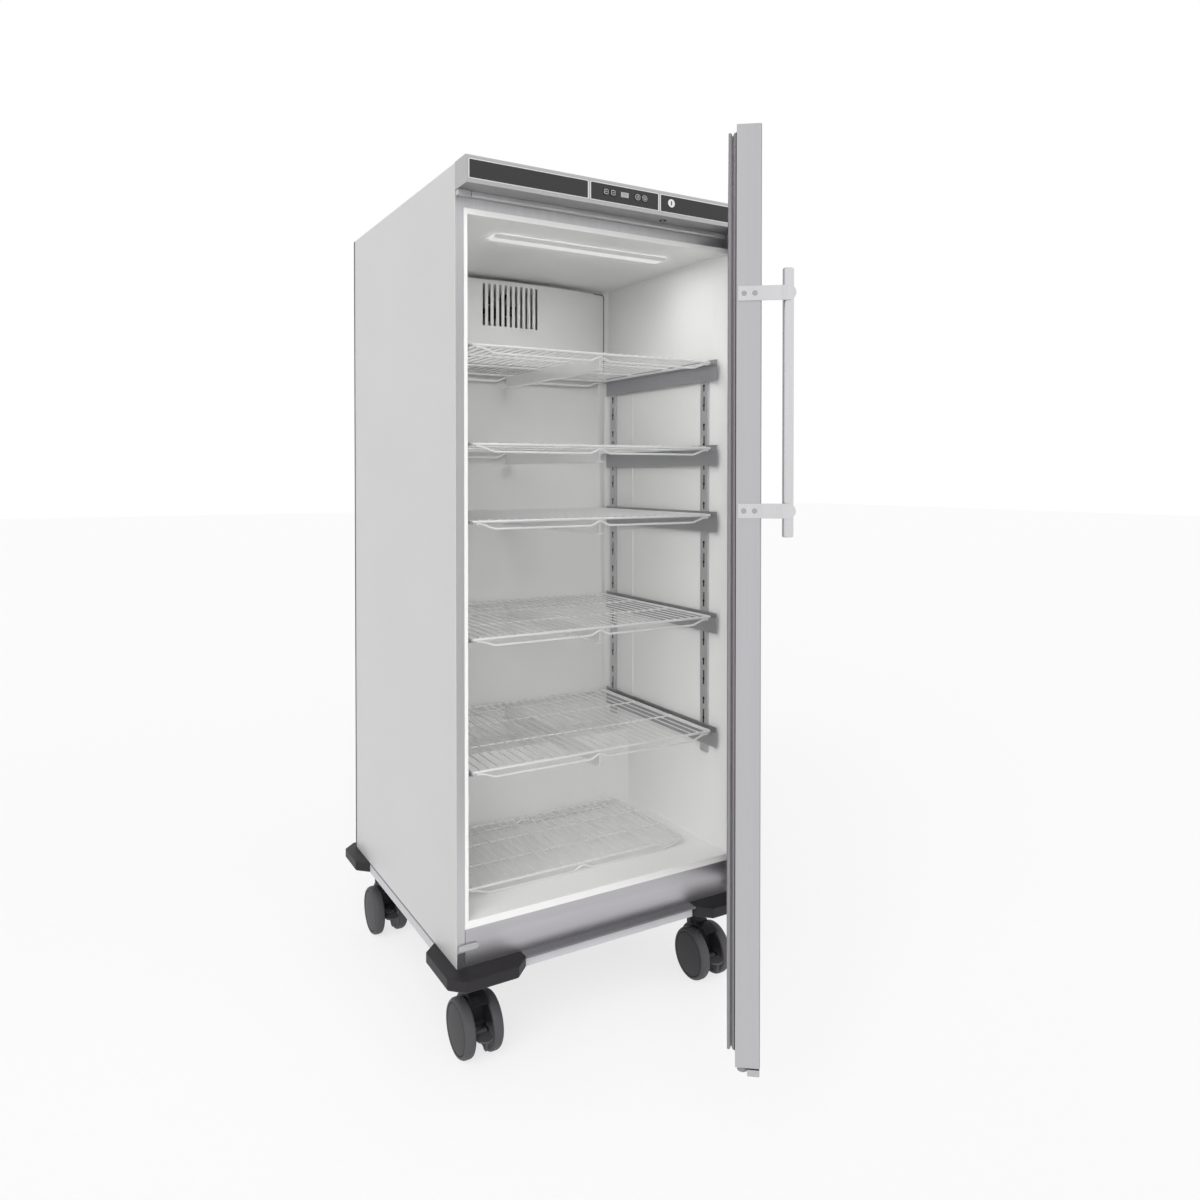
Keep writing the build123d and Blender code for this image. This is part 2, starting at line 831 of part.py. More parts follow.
# Condenser: a fin block between two end plates, beside the compressor
condenser_x = (left + 430, left + 650)
condenser_y = (front + 540, front + 700)
condenser_height = 200
condenser_fins = 10
with BuildPart() as condenser:
    fin_pitch = (condenser_y[1] - condenser_y[0]) / (condenser_fins + 1)
    for x in condenser_x:
        block((x - 1, x + 1), condenser_y, (body_base, body_base + condenser_height))
    for number in range(condenser_fins):
        y = condenser_y[0] + (number + 1) * fin_pitch
        block(
            condenser_x,
            (y - sheet / 2, y + sheet / 2),
            (body_base + 20, body_base + condenser_height - 10),
        )
keep(condenser.part, "condenser")

# Uprights: slotted channels screwed to the side walls
upright_low = room_floor + upright_foot
upright_high = body_base + shelf_levels[0] + upright_head
upright_sheet = 1.5
upright_rows = (front + 88, front + 535)
slot_rise = 100
upright_slot = (6, 22)
rail_face = wall_x - upright_depth


def upright(sx, y):
    """A shallow channel whose open side faces the wall, with a column of slots."""
    face = sx * rail_face
    web = sx * (rail_face + upright_sheet)
    half = upright_width / 2
    with BuildSketch(Plane.XY.offset(upright_low)) as channel:
        with BuildLine():
            Polyline(
                (sx * wall_x, y - half),
                (face, y - half),
                (face, y + half),
                (sx * wall_x, y + half),
                (sx * wall_x, y + half - upright_sheet),
                (web, y + half - upright_sheet),
                (web, y - half + upright_sheet),
                (sx * wall_x, y - half + upright_sheet),
                close=True,
            )
        make_face()
    extrude(channel.sketch, amount=upright_high - upright_low)
    rows = int((upright_high - upright_low) / slot_rise)
    with BuildSketch(Plane.YZ.offset(min(face, web))) as slots:
        with Locations((y, (upright_low + upright_high) / 2)):
            with GridLocations(slot_rise, slot_rise, 1, rows):
                Rectangle(*upright_slot)
    extrude(slots.sketch, amount=upright_sheet, mode=Mode.SUBTRACT)


with BuildPart() as shelf_uprights:
    for sx in (-1, 1):
        for y in upright_rows:
            upright(sx, y)
keep(shelf_uprights.part, "shelf_uprights")

# Brackets: folded sheet runners that hook on the uprights and carry the shelf edges
bracket_rise = 9
bracket_drop = 43
ledge_depth = 12.5
shelf_heights = [body_base + level for level in shelf_levels]
with BuildPart() as shelf_brackets:
    for z in shelf_heights:
        ledge_top = z - rim_wire / 2 - slack
        for sx in (-1, 1):
            face = sx * rail_face
            inner = sx * (rail_face - bracket_sheet)
            tip = sx * (rail_face - ledge_depth)
            with BuildSketch(Plane.XZ.offset(-front - shelf_setback + 6)):
                with BuildLine():
                    Polyline(
                        (face, z + bracket_rise),
                        (face, z - bracket_drop),
                        (inner, z - bracket_drop),
                        (inner, ledge_top - bracket_sheet),
                        (tip, ledge_top - bracket_sheet),
                        (tip, ledge_top),
                        (inner, ledge_top),
                        (inner, z + bracket_rise),
                        close=True,
                    )
                make_face()
            extrude(amount=-shelf_depth - 8)
keep(shelf_brackets.part, "shelf_brackets")


def hexagon(width):
    """A wire's section, as wide across its flats as the wire, with flats above and below."""
    RegularPolygon(width / 2, 6, major_radius=False)


def wires_across(x, places, width):
    """Straight wires along X, one at each (y, z)."""
    with BuildSketch(Plane.YZ.offset(x[0])) as sections:
        with Locations(*places):
            hexagon(width)
    extrude(sections.sketch, amount=x[1] - x[0])


def wires_along(y, places, width):
    """Straight wires along Y, one at each (x, z)."""
    with BuildSketch(Plane.XZ.offset(-y[0])) as sections:
        with Locations(*places):
            hexagon(width)
    extrude(sections.sketch, amount=y[0] - y[1])


def dipped_rail(centre, half, y, z):
    """A rail under the rim wire, a solid of its own: down near each end, and up to the rim in a vee at mid."""
    end = 25
    slope = 33
    vee = 22
    weld = z - rim_wire / 2 - running
    upper = [
        (centre - half + end, weld),
        (centre - half + end + slope, z - dip_drop + dip_wire),
        (centre - vee, z - dip_drop + dip_wire),
        (centre, weld),
        (centre + vee, z - dip_drop + dip_wire),
        (centre + half - end - slope, z - dip_drop + dip_wire),
        (centre + half - end, weld),
    ]
    lower = [(x, height - dip_wire) for x, height in reversed(upper)]
    with BuildSketch(Plane.XZ.offset(-y - dip_wire / 2)) as outline:
        with BuildLine():
            Polyline(*upper, *lower, close=True)
        make_face()
    extrude(outline.sketch, amount=dip_wire)


def wire_shelf(width, depth, y_front, z, centre, hanger):
    """A shelf: welded rim, cross wires and two supports, then dipped rails and, if asked, a hanging tee at mid."""
    low = centre - width / 2
    high = centre + width / 2
    rim = rim_wire / 2
    y_rims = (y_front + rim, y_front + depth - rim)
    count = int((width - 2 * rim_wire) / cross_pitch)
    with BuildPart() as shelf:
        wires_across((low, high), [(y, z) for y in y_rims], rim_wire)
        wires_along(y_rims, [(low + rim, z), (high - rim, z)], rim_wire)
        lift = (rim_wire - cross_wire) / 2
        first = centre - (count - 1) * cross_pitch / 2
        wires_along(y_rims, [(first + number * cross_pitch, z + lift) for number in range(count)], cross_wire)
        support_z = z + lift - cross_wire / 2 - support_wire / 2 - running
        wires_across(
            (low + rim, high - rim),
            [(y_front + depth * share / 3, support_z) for share in (1, 2)],
            support_wire,
        )
        for y in y_rims:
            dipped_rail(centre, width / 2, y, z)
        if hanger:
            clear = dip_wire / 2 + running
            reach = (y_rims[0] + clear, y_rims[1] - clear)
            web_top = support_z - support_wire / 2 - running
            block((centre - hanger_sheet / 2, centre + hanger_sheet / 2), reach, (z - hanger, web_top))
            block((centre - hanger_foot / 2, centre + hanger_foot / 2), reach, (z - hanger - hanger_sheet, z - hanger))
    return shelf.part


hanger_drop = 35
hanger_sheet = 2
hanger_foot = 20
for number, z in enumerate(shelf_heights, 1):
    shelf = wire_shelf(shelf_width, shelf_depth, front + shelf_setback, z, 0, hanger_drop)
    keep(shelf, f"wire_shelf_{number}")

floor_shelf_z = room_floor + slack + dip_drop
floor_shelf = wire_shelf(
    floor_shelf_width,
    floor_shelf_depth,
    front + floor_shelf_setback,
    floor_shelf_z,
    floor_shelf_shift,
    0,
)
keep(floor_shelf, "floor_shelf")

# Door: drawn on a plane that stands at the pivot and is turned with the open door.
# Its x runs from the pivot to the free edge, its y outwards from the room, its z up.
swing = radians(door_angle)
door_plane = Plane(origin=(pivot_x, pivot_y, 0), x_dir=(-cos(swing), -sin(swing), 0), z_dir=(0, 0, 1))
heel = -(pivot_inset - door_side_gap)
free_edge = body_width - pivot_inset - door_side_gap
inner_face = inner_face_gap - pivot_reach
outer_face = inner_face + door_thickness
gasket_face = seal_gap - pivot_reach
bush_radius = 9
bush_length = 30
top_bush_length = 26
heel_bush = 0
spare_bush = free_edge + heel
bolt_u = pivot_x - lock_x
bolt_out = pivot_y - bolt_y
bolt_hole_depth = 16
foot_plate = (3, 20)


def door_block(u, out, z, mode=Mode.ADD):
    """A box in the door: from pivot to free edge, outwards, and up."""
    with BuildSketch(door_plane.offset(z[0])) as outline:
        with Locations(((u[0] + u[1]) / 2, (out[0] + out[1]) / 2)):
            Rectangle(abs(u[1] - u[0]), abs(out[1] - out[0]))
    extrude(outline.sketch, amount=z[1] - z[0], mode=mode)


def door_post(u, out, low, high, radius, mode=Mode.ADD):
    """An upright cylinder in the door."""
    with BuildSketch(door_plane.offset(low)) as outline:
        with Locations((u, out)):
            Circle(radius)
    extrude(outline.sketch, amount=high - low, mode=mode)


def door_holes():
    """Clear the seats of the pivot bushes and the hole that takes the lock bolt."""
    for u in (heel_bush, spare_bush):
        door_post(u, 0, door_bottom, door_bottom + bush_length, bush_radius, Mode.SUBTRACT)
    door_post(heel_bush, 0, door_top - top_bush_length, door_top, bush_radius, Mode.SUBTRACT)
    door_post(bolt_u, bolt_out, door_top - bolt_hole_depth, door_top, bolt_hole, Mode.SUBTRACT)


with BuildPart() as door_skin:
    door_block((heel, free_edge), (inner_face, outer_face), (door_bottom, door_top))
    outer_edges = door_skin.edges().filter_by(Axis.Z).filter_by(
        lambda edge: door_plane.to_local_coords(edge.center()).Y > 0
    )
    fillet(outer_edges, 4)
    door_block(
        (heel + door_sheet, free_edge - door_sheet),
        (inner_face, outer_face - door_sheet),
        (door_bottom + door_sheet, door_top - door_sheet),
        Mode.SUBTRACT,
    )
    door_holes()
keep(door_skin.part, "door_skin")

# Door liner: the inner panel, a shallow tray inside the skin's edges
with BuildPart() as door_liner:
    door_block(
        (heel + door_sheet, free_edge - door_sheet),
        (inner_face, inner_face + liner_sheet),
        (door_bottom + door_sheet, door_top - door_sheet),
    )
    door_holes()
keep(door_liner.part, "door_liner")

# Door foam: fills the skin behind the liner
with BuildPart() as door_foam:
    door_block(
        (heel + door_sheet, free_edge - door_sheet),
        (inner_face + liner_sheet, outer_face - door_sheet),
        (door_bottom + door_sheet, door_top - door_sheet),
    )
    foam_edges = door_foam.edges().filter_by(Axis.Z).filter_by(
        lambda edge: door_plane.to_local_coords(edge.center()).Y > 0
    )
    fillet(foam_edges, 4 - door_sheet)
    door_holes()
keep(door_foam.part, "door_foam")

# Gasket: a magnetic bellows seal, square rings on the inner panel
gasket_u = (heel + gasket_inset_side, free_edge - gasket_inset_side)
gasket_z = (door_bottom + gasket_inset_bottom, door_top - gasket_inset_top)
with BuildPart() as door_gasket:
    door_block(gasket_u, (gasket_face, inner_face), gasket_z)
    door_block(
        (gasket_u[0] + gasket_width, gasket_u[1] - gasket_width),
        (gasket_face, inner_face),
        (gasket_z[0] + gasket_width, gasket_z[1] - gasket_width),
        Mode.SUBTRACT,
    )
keep(door_gasket.part, "door_gasket")

# Pivot bushes: two in use on the pivot line, and a spare at the free edge for a door hung the other way
with BuildPart() as door_pivot_bushes:
    for u in (heel_bush, spare_bush):
        door_post(u, 0, door_bottom - bush_drop, door_bottom + bush_length, bush_radius)
    pocket_high = arm_top + bottom_pin_length + 1
    door_post(heel_bush, 0, door_bottom - bush_drop, pocket_high, bottom_pin + running, Mode.SUBTRACT)
    door_post(heel_bush, 0, door_top - top_bush_length, top_arm_low - slack, bush_radius)
    top_pocket = top_arm_low - top_pin_length - 1
    door_post(heel_bush, 0, top_pocket, top_arm_low, top_pin + running, Mode.SUBTRACT)
keep(door_pivot_bushes.part, "door_pivot_bushes")

# Handle: a round bar on two flat brackets that are screwed to the free edge
bar_radius = 9.5
bar_reach = 44
bar_low = body_base + 932.6
bar_length = 450.7
bracket_height = 25
bracket_plate = 3
handle_screw_radius = 3
bracket_heights = (body_base + 977, body_base + 1341)
bar_u = free_edge - bar_radius
bar_out = outer_face + bar_reach
with BuildPart() as handle_bar:
    door_post(bar_u, bar_out, bar_low, bar_low + bar_length, bar_radius)
    chamfer(handle_bar.edges().filter_by(GeomType.CIRCLE), 2)
keep(handle_bar.part, "handle_bar")

with BuildPart() as handle_brackets:
    for z in bracket_heights:
        door_block(
            (free_edge, free_edge + bracket_plate),
            (inner_face + 2.5, bar_out),
            (z - bracket_height / 2, z + bracket_height / 2),
        )
        with BuildSketch(
            Plane(door_plane.from_local_coords((free_edge, bar_out, z)), x_dir=(0, 0, 1), z_dir=door_plane.x_dir)
        ):
            Circle(bracket_height / 2)
        extrude(amount=bracket_plate)
keep(handle_brackets.part, "handle_brackets")

with BuildPart() as handle_screws:
    for z in bracket_heights:
        for out in (0, 18):
            seat = door_plane.from_local_coords((free_edge + bracket_plate, out, z))
            with BuildSketch(Plane(seat, x_dir=(0, 0, 1), z_dir=door_plane.x_dir)):
                RegularPolygon(1.6 * handle_screw_radius, 8)
            extrude(amount=handle_screw_radius / 2)
keep(handle_screws.part, "handle_screws")
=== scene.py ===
import json
import math

import bmesh
import bpy
import numpy as np
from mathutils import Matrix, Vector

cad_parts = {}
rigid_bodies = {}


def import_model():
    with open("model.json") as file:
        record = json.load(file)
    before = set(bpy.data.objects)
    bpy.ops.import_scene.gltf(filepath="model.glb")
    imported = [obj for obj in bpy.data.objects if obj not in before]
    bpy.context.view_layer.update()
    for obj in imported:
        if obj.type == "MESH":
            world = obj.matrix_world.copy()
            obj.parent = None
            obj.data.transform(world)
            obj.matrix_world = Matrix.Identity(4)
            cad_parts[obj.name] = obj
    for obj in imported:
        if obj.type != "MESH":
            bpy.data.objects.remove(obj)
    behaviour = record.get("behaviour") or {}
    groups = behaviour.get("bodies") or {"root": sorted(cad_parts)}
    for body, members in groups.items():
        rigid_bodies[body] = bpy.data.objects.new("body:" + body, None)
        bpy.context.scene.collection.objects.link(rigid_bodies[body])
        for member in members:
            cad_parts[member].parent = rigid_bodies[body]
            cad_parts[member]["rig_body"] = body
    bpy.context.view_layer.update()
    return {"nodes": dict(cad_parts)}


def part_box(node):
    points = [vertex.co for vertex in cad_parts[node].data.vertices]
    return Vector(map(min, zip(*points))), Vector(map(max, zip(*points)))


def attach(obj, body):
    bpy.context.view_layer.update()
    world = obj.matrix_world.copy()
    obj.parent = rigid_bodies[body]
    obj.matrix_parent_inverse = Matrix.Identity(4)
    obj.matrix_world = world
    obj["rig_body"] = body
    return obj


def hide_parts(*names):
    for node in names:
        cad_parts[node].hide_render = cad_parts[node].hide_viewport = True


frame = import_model()
nodes = frame["nodes"]
scene = bpy.context.scene
mm = 0.001


# Camera: a person's eye height, to the left of the open door, looking right along the cabinet.
# The lens, its shift and the place come from a perspective fit of the photographed edges.
lens = bpy.data.cameras.new("camera")
lens.sensor_width = 36
lens.lens = 27.598
lens.shift_y = -0.0927
eye = bpy.data.objects.new("camera", lens)
eye.location = (-1.0903, -2.1776, 1.2609)
eye.rotation_euler = (math.radians(90 - 0.77), 0, -math.radians(30.56))
scene.collection.objects.link(eye)
scene.camera = eye
scene.view_settings.view_transform = "Standard"


# Floor and light: a plain white studio floor under an even white sky, with one broad lamp from the
# left and a weaker one from the front. What the eye and the metal see of the sky and most of what
# they see of the floor is plain white, and the floor keeps the object's soft shadow.
def srgb(code):
    """An sRGB hex colour as linear RGBA: a straight line near black, and a power of 2.4 above it."""
    parts = np.array([int(code[place:place + 2], 16) for place in (0, 2, 4)]) / 255
    linear = np.where(parts <= 0.04045, parts / 12.92, ((parts + 0.055) / 1.055) ** 2.4)
    return (*linear.tolist(), 1.0)


def add(tree, kind, **given):
    """Add one shader node. A capital word or i and a number is a socket, a small word is a setting."""
    node = tree.nodes.new("ShaderNode" + kind)
    for word, value in given.items():
        if word[0].islower() and not word[1:].isdigit():
            setattr(node, word, value)
            continue
        socket = node.inputs[int(word[1:]) if word[1:].isdigit() else word.replace("_", " ")]
        if isinstance(value, bpy.types.NodeSocket):
            tree.links.new(value, socket)
        else:
            socket.default_value = value
    return node


def seen_directly(tree):
    """1 for a ray from the camera or off a mirror or through glass, and 0 for one that only lights."""
    ray = add(tree, "LightPath").outputs
    seen = add(tree, "Math", operation="MAXIMUM", i0=ray["Is Camera Ray"], i1=ray["Is Glossy Ray"])
    seen = add(tree, "Math", operation="MAXIMUM", i0=seen.outputs[0], i1=ray["Is Transmission Ray"])
    return seen.outputs[0]


sky_strength = 0.46
world = bpy.data.worlds.new("studio")
world.use_nodes = True
sky = world.node_tree
sky.nodes.clear()
lit = add(sky, "Background", Color=srgb("FFFFFF"), Strength=sky_strength)
white = add(sky, "Background", Color=srgb("FFFFFF"), Strength=1.0)
both = add(sky, "MixShader", i0=seen_directly(sky), i1=lit.outputs[0], i2=white.outputs[0])
add(sky, "OutputWorld", Surface=both.outputs[0])
scene.world = world

for name, energy, spread, aim in (
    ("key", 1.93, 50, (-0.55, -0.62, 0.62)),
    ("fill", 1.0, 70, (0.25, -0.9, 0.25)),
):
    lamp = bpy.data.lights.new(name, "SUN")
    lamp.energy = energy
    lamp.angle = math.radians(spread)
    holder = bpy.data.objects.new(name, lamp)
    holder.rotation_mode = "QUATERNION"
    holder.rotation_quaternion = Vector(aim).to_track_quat("Z", "Y")
    holder.visible_glossy = False
    scene.collection.objects.link(holder)


def new_material(name):
    """A bare material: itself, its node tree, its Principled shader and the Object coordinates."""
    material = bpy.data.materials.new(name)
    material.use_nodes = True
    tree = material.node_tree
    return material, tree, tree.nodes["Principled BSDF"], add(tree, "TexCoord").outputs["Object"]


def shell(points, around=False, ring=False, capped=False):
    """Points of a grid (rows, columns, 3) and its quads: each joins four neighbours. around joins the
    last column to the first, ring the last row to the first, and capped closes the two end rows."""
    rows, columns = points.shape[:2]
    index = np.arange(rows * columns).reshape(rows, columns)
    lid = index
    if around:
        index = np.column_stack([index, index[:, :1]])
    if ring:
        index = np.vstack([index, index[:1]])
    quads = np.stack([index[:-1, :-1], index[1:, :-1], index[1:, 1:], index[:-1, 1:]], -1)
    faces = quads.reshape(-1, 4).tolist()
    if capped:
        faces += [lid[0].tolist(), lid[-1, ::-1].tolist()]
    return points.reshape(-1, 3), faces


def put(name, shells, material, body, slot, replaced=(), sharp=40):
    """Put one mesh together from its shells, merge their doubles, face it outwards, give it its finish
    and its body, and hide the CAD nodes that it replaces. slot is not used."""
    starts = np.cumsum([0] + [len(points) for points, _ in shells])
    mesh = bpy.data.meshes.new(name)
    faces = [[corner + int(start) for corner in face]
             for (_, group), start in zip(shells, starts) for face in group]
    mesh.from_pydata(np.vstack([points for points, _ in shells]).tolist(), [], faces)
    work = bmesh.new()
    work.from_mesh(mesh)
    bmesh.ops.remove_doubles(work, verts=work.verts, dist=1e-7)
    bmesh.ops.recalc_face_normals(work, faces=work.faces)
    work.to_mesh(mesh)
    work.free()
    mesh.shade_smooth()
    mesh.set_sharp_from_angle(angle=math.radians(sharp))
    mesh.materials.append(material)
    piece = bpy.data.objects.new(name, mesh)
    scene.collection.objects.link(piece)
    if body is None:
        return piece
    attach(piece, body)
    if replaced:
        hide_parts(*replaced)
    return piece


floor_paper, tree, shader, place = new_material("paper_floor")
fibre = add(tree, "TexNoise", Vector=place, Scale=900.0, Detail=2.0)  # fibres of about 1.1 mm
tone = add(tree, "MapRange", Value=fibre.outputs[0], To_Min=0.985, To_Max=1.0)
tint = add(tree, "HueSaturation", Value=tone.outputs[0], Color=srgb("FAFAFA"))
tree.links.new(tint.outputs[0], shader.inputs["Base Color"])
shader.inputs["Roughness"].default_value = 0.9
shader.inputs["Specular IOR Level"].default_value = 0.1
floor_glow = 0.72
share = add(tree, "Math", operation="MULTIPLY", i0=seen_directly(tree), i1=floor_glow)
glow = add(tree, "Emission", Color=srgb("FFFFFF"), Strength=1.0)
paper = add(tree, "MixShader", i0=share.outputs[0], i1=shader.outputs[0], i2=glow.outputs[0])
tree.links.new(paper.outputs[0], tree.nodes["Material Output"].inputs["Surface"])
floor_half = 30.0
across = np.linspace(-floor_half, floor_half, 3)
flat = np.stack([*np.meshgrid(across, across), np.zeros((3, 3))], -1)
put("floor", [shell(flat)], floor_paper, None, None)


# Casing: one sheet of light grey coated steel, folded over both sides and the top, with small bend
# radii. The coat's faint orange peel gives the eye a soft, even sheen. A dull dark rubber bead is
# pressed over its rear edge.
def coated_steel(name, colour, roughness):
    """Powder coat on steel: orange peel with cells of about 2 mm, and a barely uneven tone."""
    material, tree, shader, place = new_material(name)
    peel = add(tree, "TexNoise", Vector=place, Scale=1 / (2 * mm), Detail=2.0)
    cloud = add(tree, "TexNoise", Vector=place, Scale=1 / (350 * mm), Detail=1.0)
    tone = add(tree, "MapRange", Value=cloud.outputs[0], To_Min=0.97, To_Max=1.03)
    tint = add(tree, "HueSaturation", Value=tone.outputs[0], Color=srgb(colour))
    gloss = add(tree, "MapRange", Value=peel.outputs[0],
                To_Min=roughness - 0.04, To_Max=roughness + 0.04)
    relief = add(tree, "Bump", Height=peel.outputs[0], Strength=0.35, Distance=0.03 * mm)
    tree.links.new(tint.outputs[0], shader.inputs["Base Color"])
    tree.links.new(gloss.outputs[0], shader.inputs["Roughness"])
    tree.links.new(relief.outputs[0], shader.inputs["Normal"])
    return material


def eased(node, width, material, over=30, where=None, segments=2):
    """Stand a finished copy in for a CAD node: its triangles merged, its flats whole, and those edges
    that turn by more than over degrees rounded to a width in millimetres."""
    mesh = nodes[node].data.copy()
    mesh.name = node + "_finished"
    work = bmesh.new()
    work.from_mesh(mesh)
    bmesh.ops.remove_doubles(work, verts=work.verts, dist=2e-6)
    bmesh.ops.dissolve_limit(work, angle_limit=math.radians(0.6), verts=work.verts, edges=work.edges)
    weight = work.edges.layers.float.new("bevel_weight_edge")
    for edge in work.edges:
        middle = (edge.verts[0].co + edge.verts[1].co) / 2
        turn = edge.calc_face_angle(0.0)
        edge[weight] = float(turn > math.radians(over) and (where is None or where(middle)))
    work.to_mesh(mesh)
    work.free()
    mesh.shade_smooth()
    mesh.set_sharp_from_angle(angle=math.radians(over))
    mesh.materials.clear()
    mesh.materials.append(material)
    piece = bpy.data.objects.new(mesh.name, mesh)
    scene.collection.objects.link(piece)
    rounding = piece.modifiers.new("rounded_edges", "BEVEL")
    rounding.width = width * mm
    rounding.segments = segments
    rounding.limit_method = "WEIGHT"
    rounding.harden_normals = True
    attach(piece, nodes[node]["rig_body"])
    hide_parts(node)
    return piece


def dress(material, *names):
    """Give CAD nodes that stay as they are their finish."""
    for name in names:
        node = nodes[name]
        if not node.material_slots:
            node.data.materials.append(material)
        for place in node.material_slots:
            place.material = material


casing_coat = coated_steel("powder_coated_steel", "CACACA", 0.42)
eased("outer_casing", 0.5, casing_coat)


def moulded(name, colour, roughness, grain, relief, sheen=0.0, shine=0.5):
    """Moulded plastic or rubber: a fine eroded grain, its size and depth in millimetres, which takes
    the edge off its gloss, under a tone that drifts slowly by about one part in a hundred."""
    material, tree, shader, place = new_material(name)
    pits = add(tree, "TexNoise", Vector=place, Scale=1 / (grain * mm), Detail=3.0)
    drift = add(tree, "TexNoise", Vector=place, Scale=1 / (80 * mm), Detail=1.0)
    tone = add(tree, "MapRange", Value=drift.outputs[0], To_Min=0.988, To_Max=1.012)
    tint = add(tree, "HueSaturation", Value=tone.outputs[0], Color=srgb(colour))
    gloss = add(tree, "MapRange", Value=pits.outputs[0],
                To_Min=roughness - 0.06, To_Max=roughness + 0.06)
    bump = add(tree, "Bump", Height=pits.outputs[0], Strength=0.6, Distance=relief * mm)
    tree.links.new(tint.outputs[0], shader.inputs["Base Color"])
    tree.links.new(gloss.outputs[0], shader.inputs["Roughness"])
    tree.links.new(bump.outputs[0], shader.inputs["Normal"])
    shader.inputs["Sheen Weight"].default_value = sheen
    shader.inputs["Specular IOR Level"].default_value = shine
    return material


def circle(radius, count):
    """A closed round profile: points at equal angles, as (side, up)."""
    angle = np.linspace(0, 2 * np.pi, count, endpoint=False)
    return radius * np.column_stack([np.cos(angle), np.sin(angle)])


def carried(profile, path, up=(0, 0, 1), closed=False):
    """A profile of (side, up) carried along a path: at each point it stands square to the line through
    the two neighbours. A closed path makes a ring, and an open one gets its two ends closed."""
    path = np.asarray(path, float)
    if closed:
        ahead = np.roll(path, -1, 0) - np.roll(path, 1, 0)
    else:
        ahead = np.gradient(path, axis=0)
    ahead /= np.linalg.norm(ahead, axis=1, keepdims=True)
    side = np.cross(ahead, up)
    side /= np.linalg.norm(side, axis=1, keepdims=True)
    top = np.cross(side, ahead)
    rows = path[:, None] + profile[None, :, :1] * side[:, None] + profile[None, :, 1:] * top[:, None]
    return shell(rows, around=True, ring=closed, capped=not closed)


def bent(points, setback, steps=6, closed=False):
    """A path through points with rounded corners: each corner is a quadratic curve that starts and ends
    a setback away from it, steered by the corner itself."""
    points = np.asarray(points, float)
    if closed:
        before, corner, after = np.roll(points, 1, 0), points, np.roll(points, -1, 0)
    else:
        before, corner, after = points[:-2], points[1:-1], points[2:]
    back = (before - corner) / np.linalg.norm(before - corner, axis=1, keepdims=True)
    ahead = (after - corner) / np.linalg.norm(after - corner, axis=1, keepdims=True)
    share = np.linspace(0, 1, steps)[None, :, None]
    start = (corner + setback * back)[:, None]
    end = (corner + setback * ahead)[:, None]
    arcs = (1 - share) ** 2 * start + 2 * share * (1 - share) * corner[:, None] + share ** 2 * end
    arcs = arcs.reshape(-1, 3)
    return arcs if closed else np.vstack([points[:1], arcs, points[-1:]])


edge_rubber = moulded("epdm_rubber", "4A4A4C", 0.6, 0.8, 0.02)
casing_half = 375 * mm
casing_low, casing_top, casing_back = 226 * mm, 1913 * mm, 374 * mm
bead, bead_corner = 2 * mm, 4 * mm
bead_line = [
    (-casing_half, casing_back - bead, casing_low),
    (-casing_half, casing_back - bead, casing_top - bead),
    (casing_half, casing_back - bead, casing_top - bead),
    (casing_half, casing_back - bead, casing_low),
]
edge_bead = carried(circle(bead, 8), bent(bead_line, bead_corner), up=(0, 1, 0))
put("rear_edge_bead", [edge_bead], edge_rubber, "cabinet", "bush_plastic")


# Rear panel: one sheet in the same coat, slotted low down where the machine breathes. Pan-head
# screws hold it round its edge; their zinc plate is a dull, slightly cloudy grey.
def turned(profile, centre, axis, count=32, ring=False):
    """A profile of (radius, distance along the axis) turned about an axis through a centre: one row
    for each point of the profile, one column for each angle. ring joins its last point to its first."""
    axis = np.asarray(axis, float) / np.linalg.norm(axis)
    side = np.cross(axis, (0, 0, 1) if abs(axis[2]) < 0.9 else (1, 0, 0))
    side /= np.linalg.norm(side)
    other = np.cross(axis, side)
    angle = np.linspace(0, 2 * np.pi, count, endpoint=False)
    spoke = np.cos(angle)[:, None] * side + np.sin(angle)[:, None] * other
    profile = np.asarray(profile, float)
    rows = np.asarray(centre) + profile[:, :1, None] * spoke[None] + profile[:, 1:, None] * axis
    return shell(rows, around=True, ring=ring)


def plain_metal(name, colour, roughness, grain):
    """Bare or plated metal without a direction: a slight cloud in its tone, and a gloss that varies
    over spots of a size given in millimetres."""
    material, tree, shader, place = new_material(name)
    spots = add(tree, "TexNoise", Vector=place, Scale=1 / (grain * mm), Detail=4.0)
    tone = add(tree, "MapRange", Value=spots.outputs[0], To_Min=0.94, To_Max=1.06)
    tint = add(tree, "HueSaturation", Value=tone.outputs[0], Color=srgb(colour))
    gloss = add(tree, "MapRange", Value=spots.outputs[0],
                To_Min=roughness - 0.05, To_Max=roughness + 0.05)
    tree.links.new(tint.outputs[0], shader.inputs["Base Color"])
    tree.links.new(gloss.outputs[0], shader.inputs["Roughness"])
    shader.inputs["Metallic"].default_value = 1.0
    return material


dress(casing_coat, "rear_panel")
zinc = plain_metal("zinc_plated_steel", "A9A9AC", 0.38, 6)
screw_head = np.array([(0, 2.2), (1.6, 2.1), (3.0, 1.5), (3.6, 0.6), (3.6, 0)]) * mm
inner_column, outer_column = 120 * mm, 362 * mm
screw_x = [side * column for column in (inner_column, outer_column) for side in (-1, 1)]
screw_spots = [(x, z * mm) for x in screw_x for z in (236, 1901)]
screw_spots += [(side * outer_column, z * mm) for z in (520, 800, 1080, 1360, 1640) for side in (-1, 1)]
screws = [turned(screw_head, (x, casing_back, z), (0, 1, 0), 16) for x, z in screw_spots]
put("rear_panel_screws", screws, zinc, "cabinet", "carrier_steel")


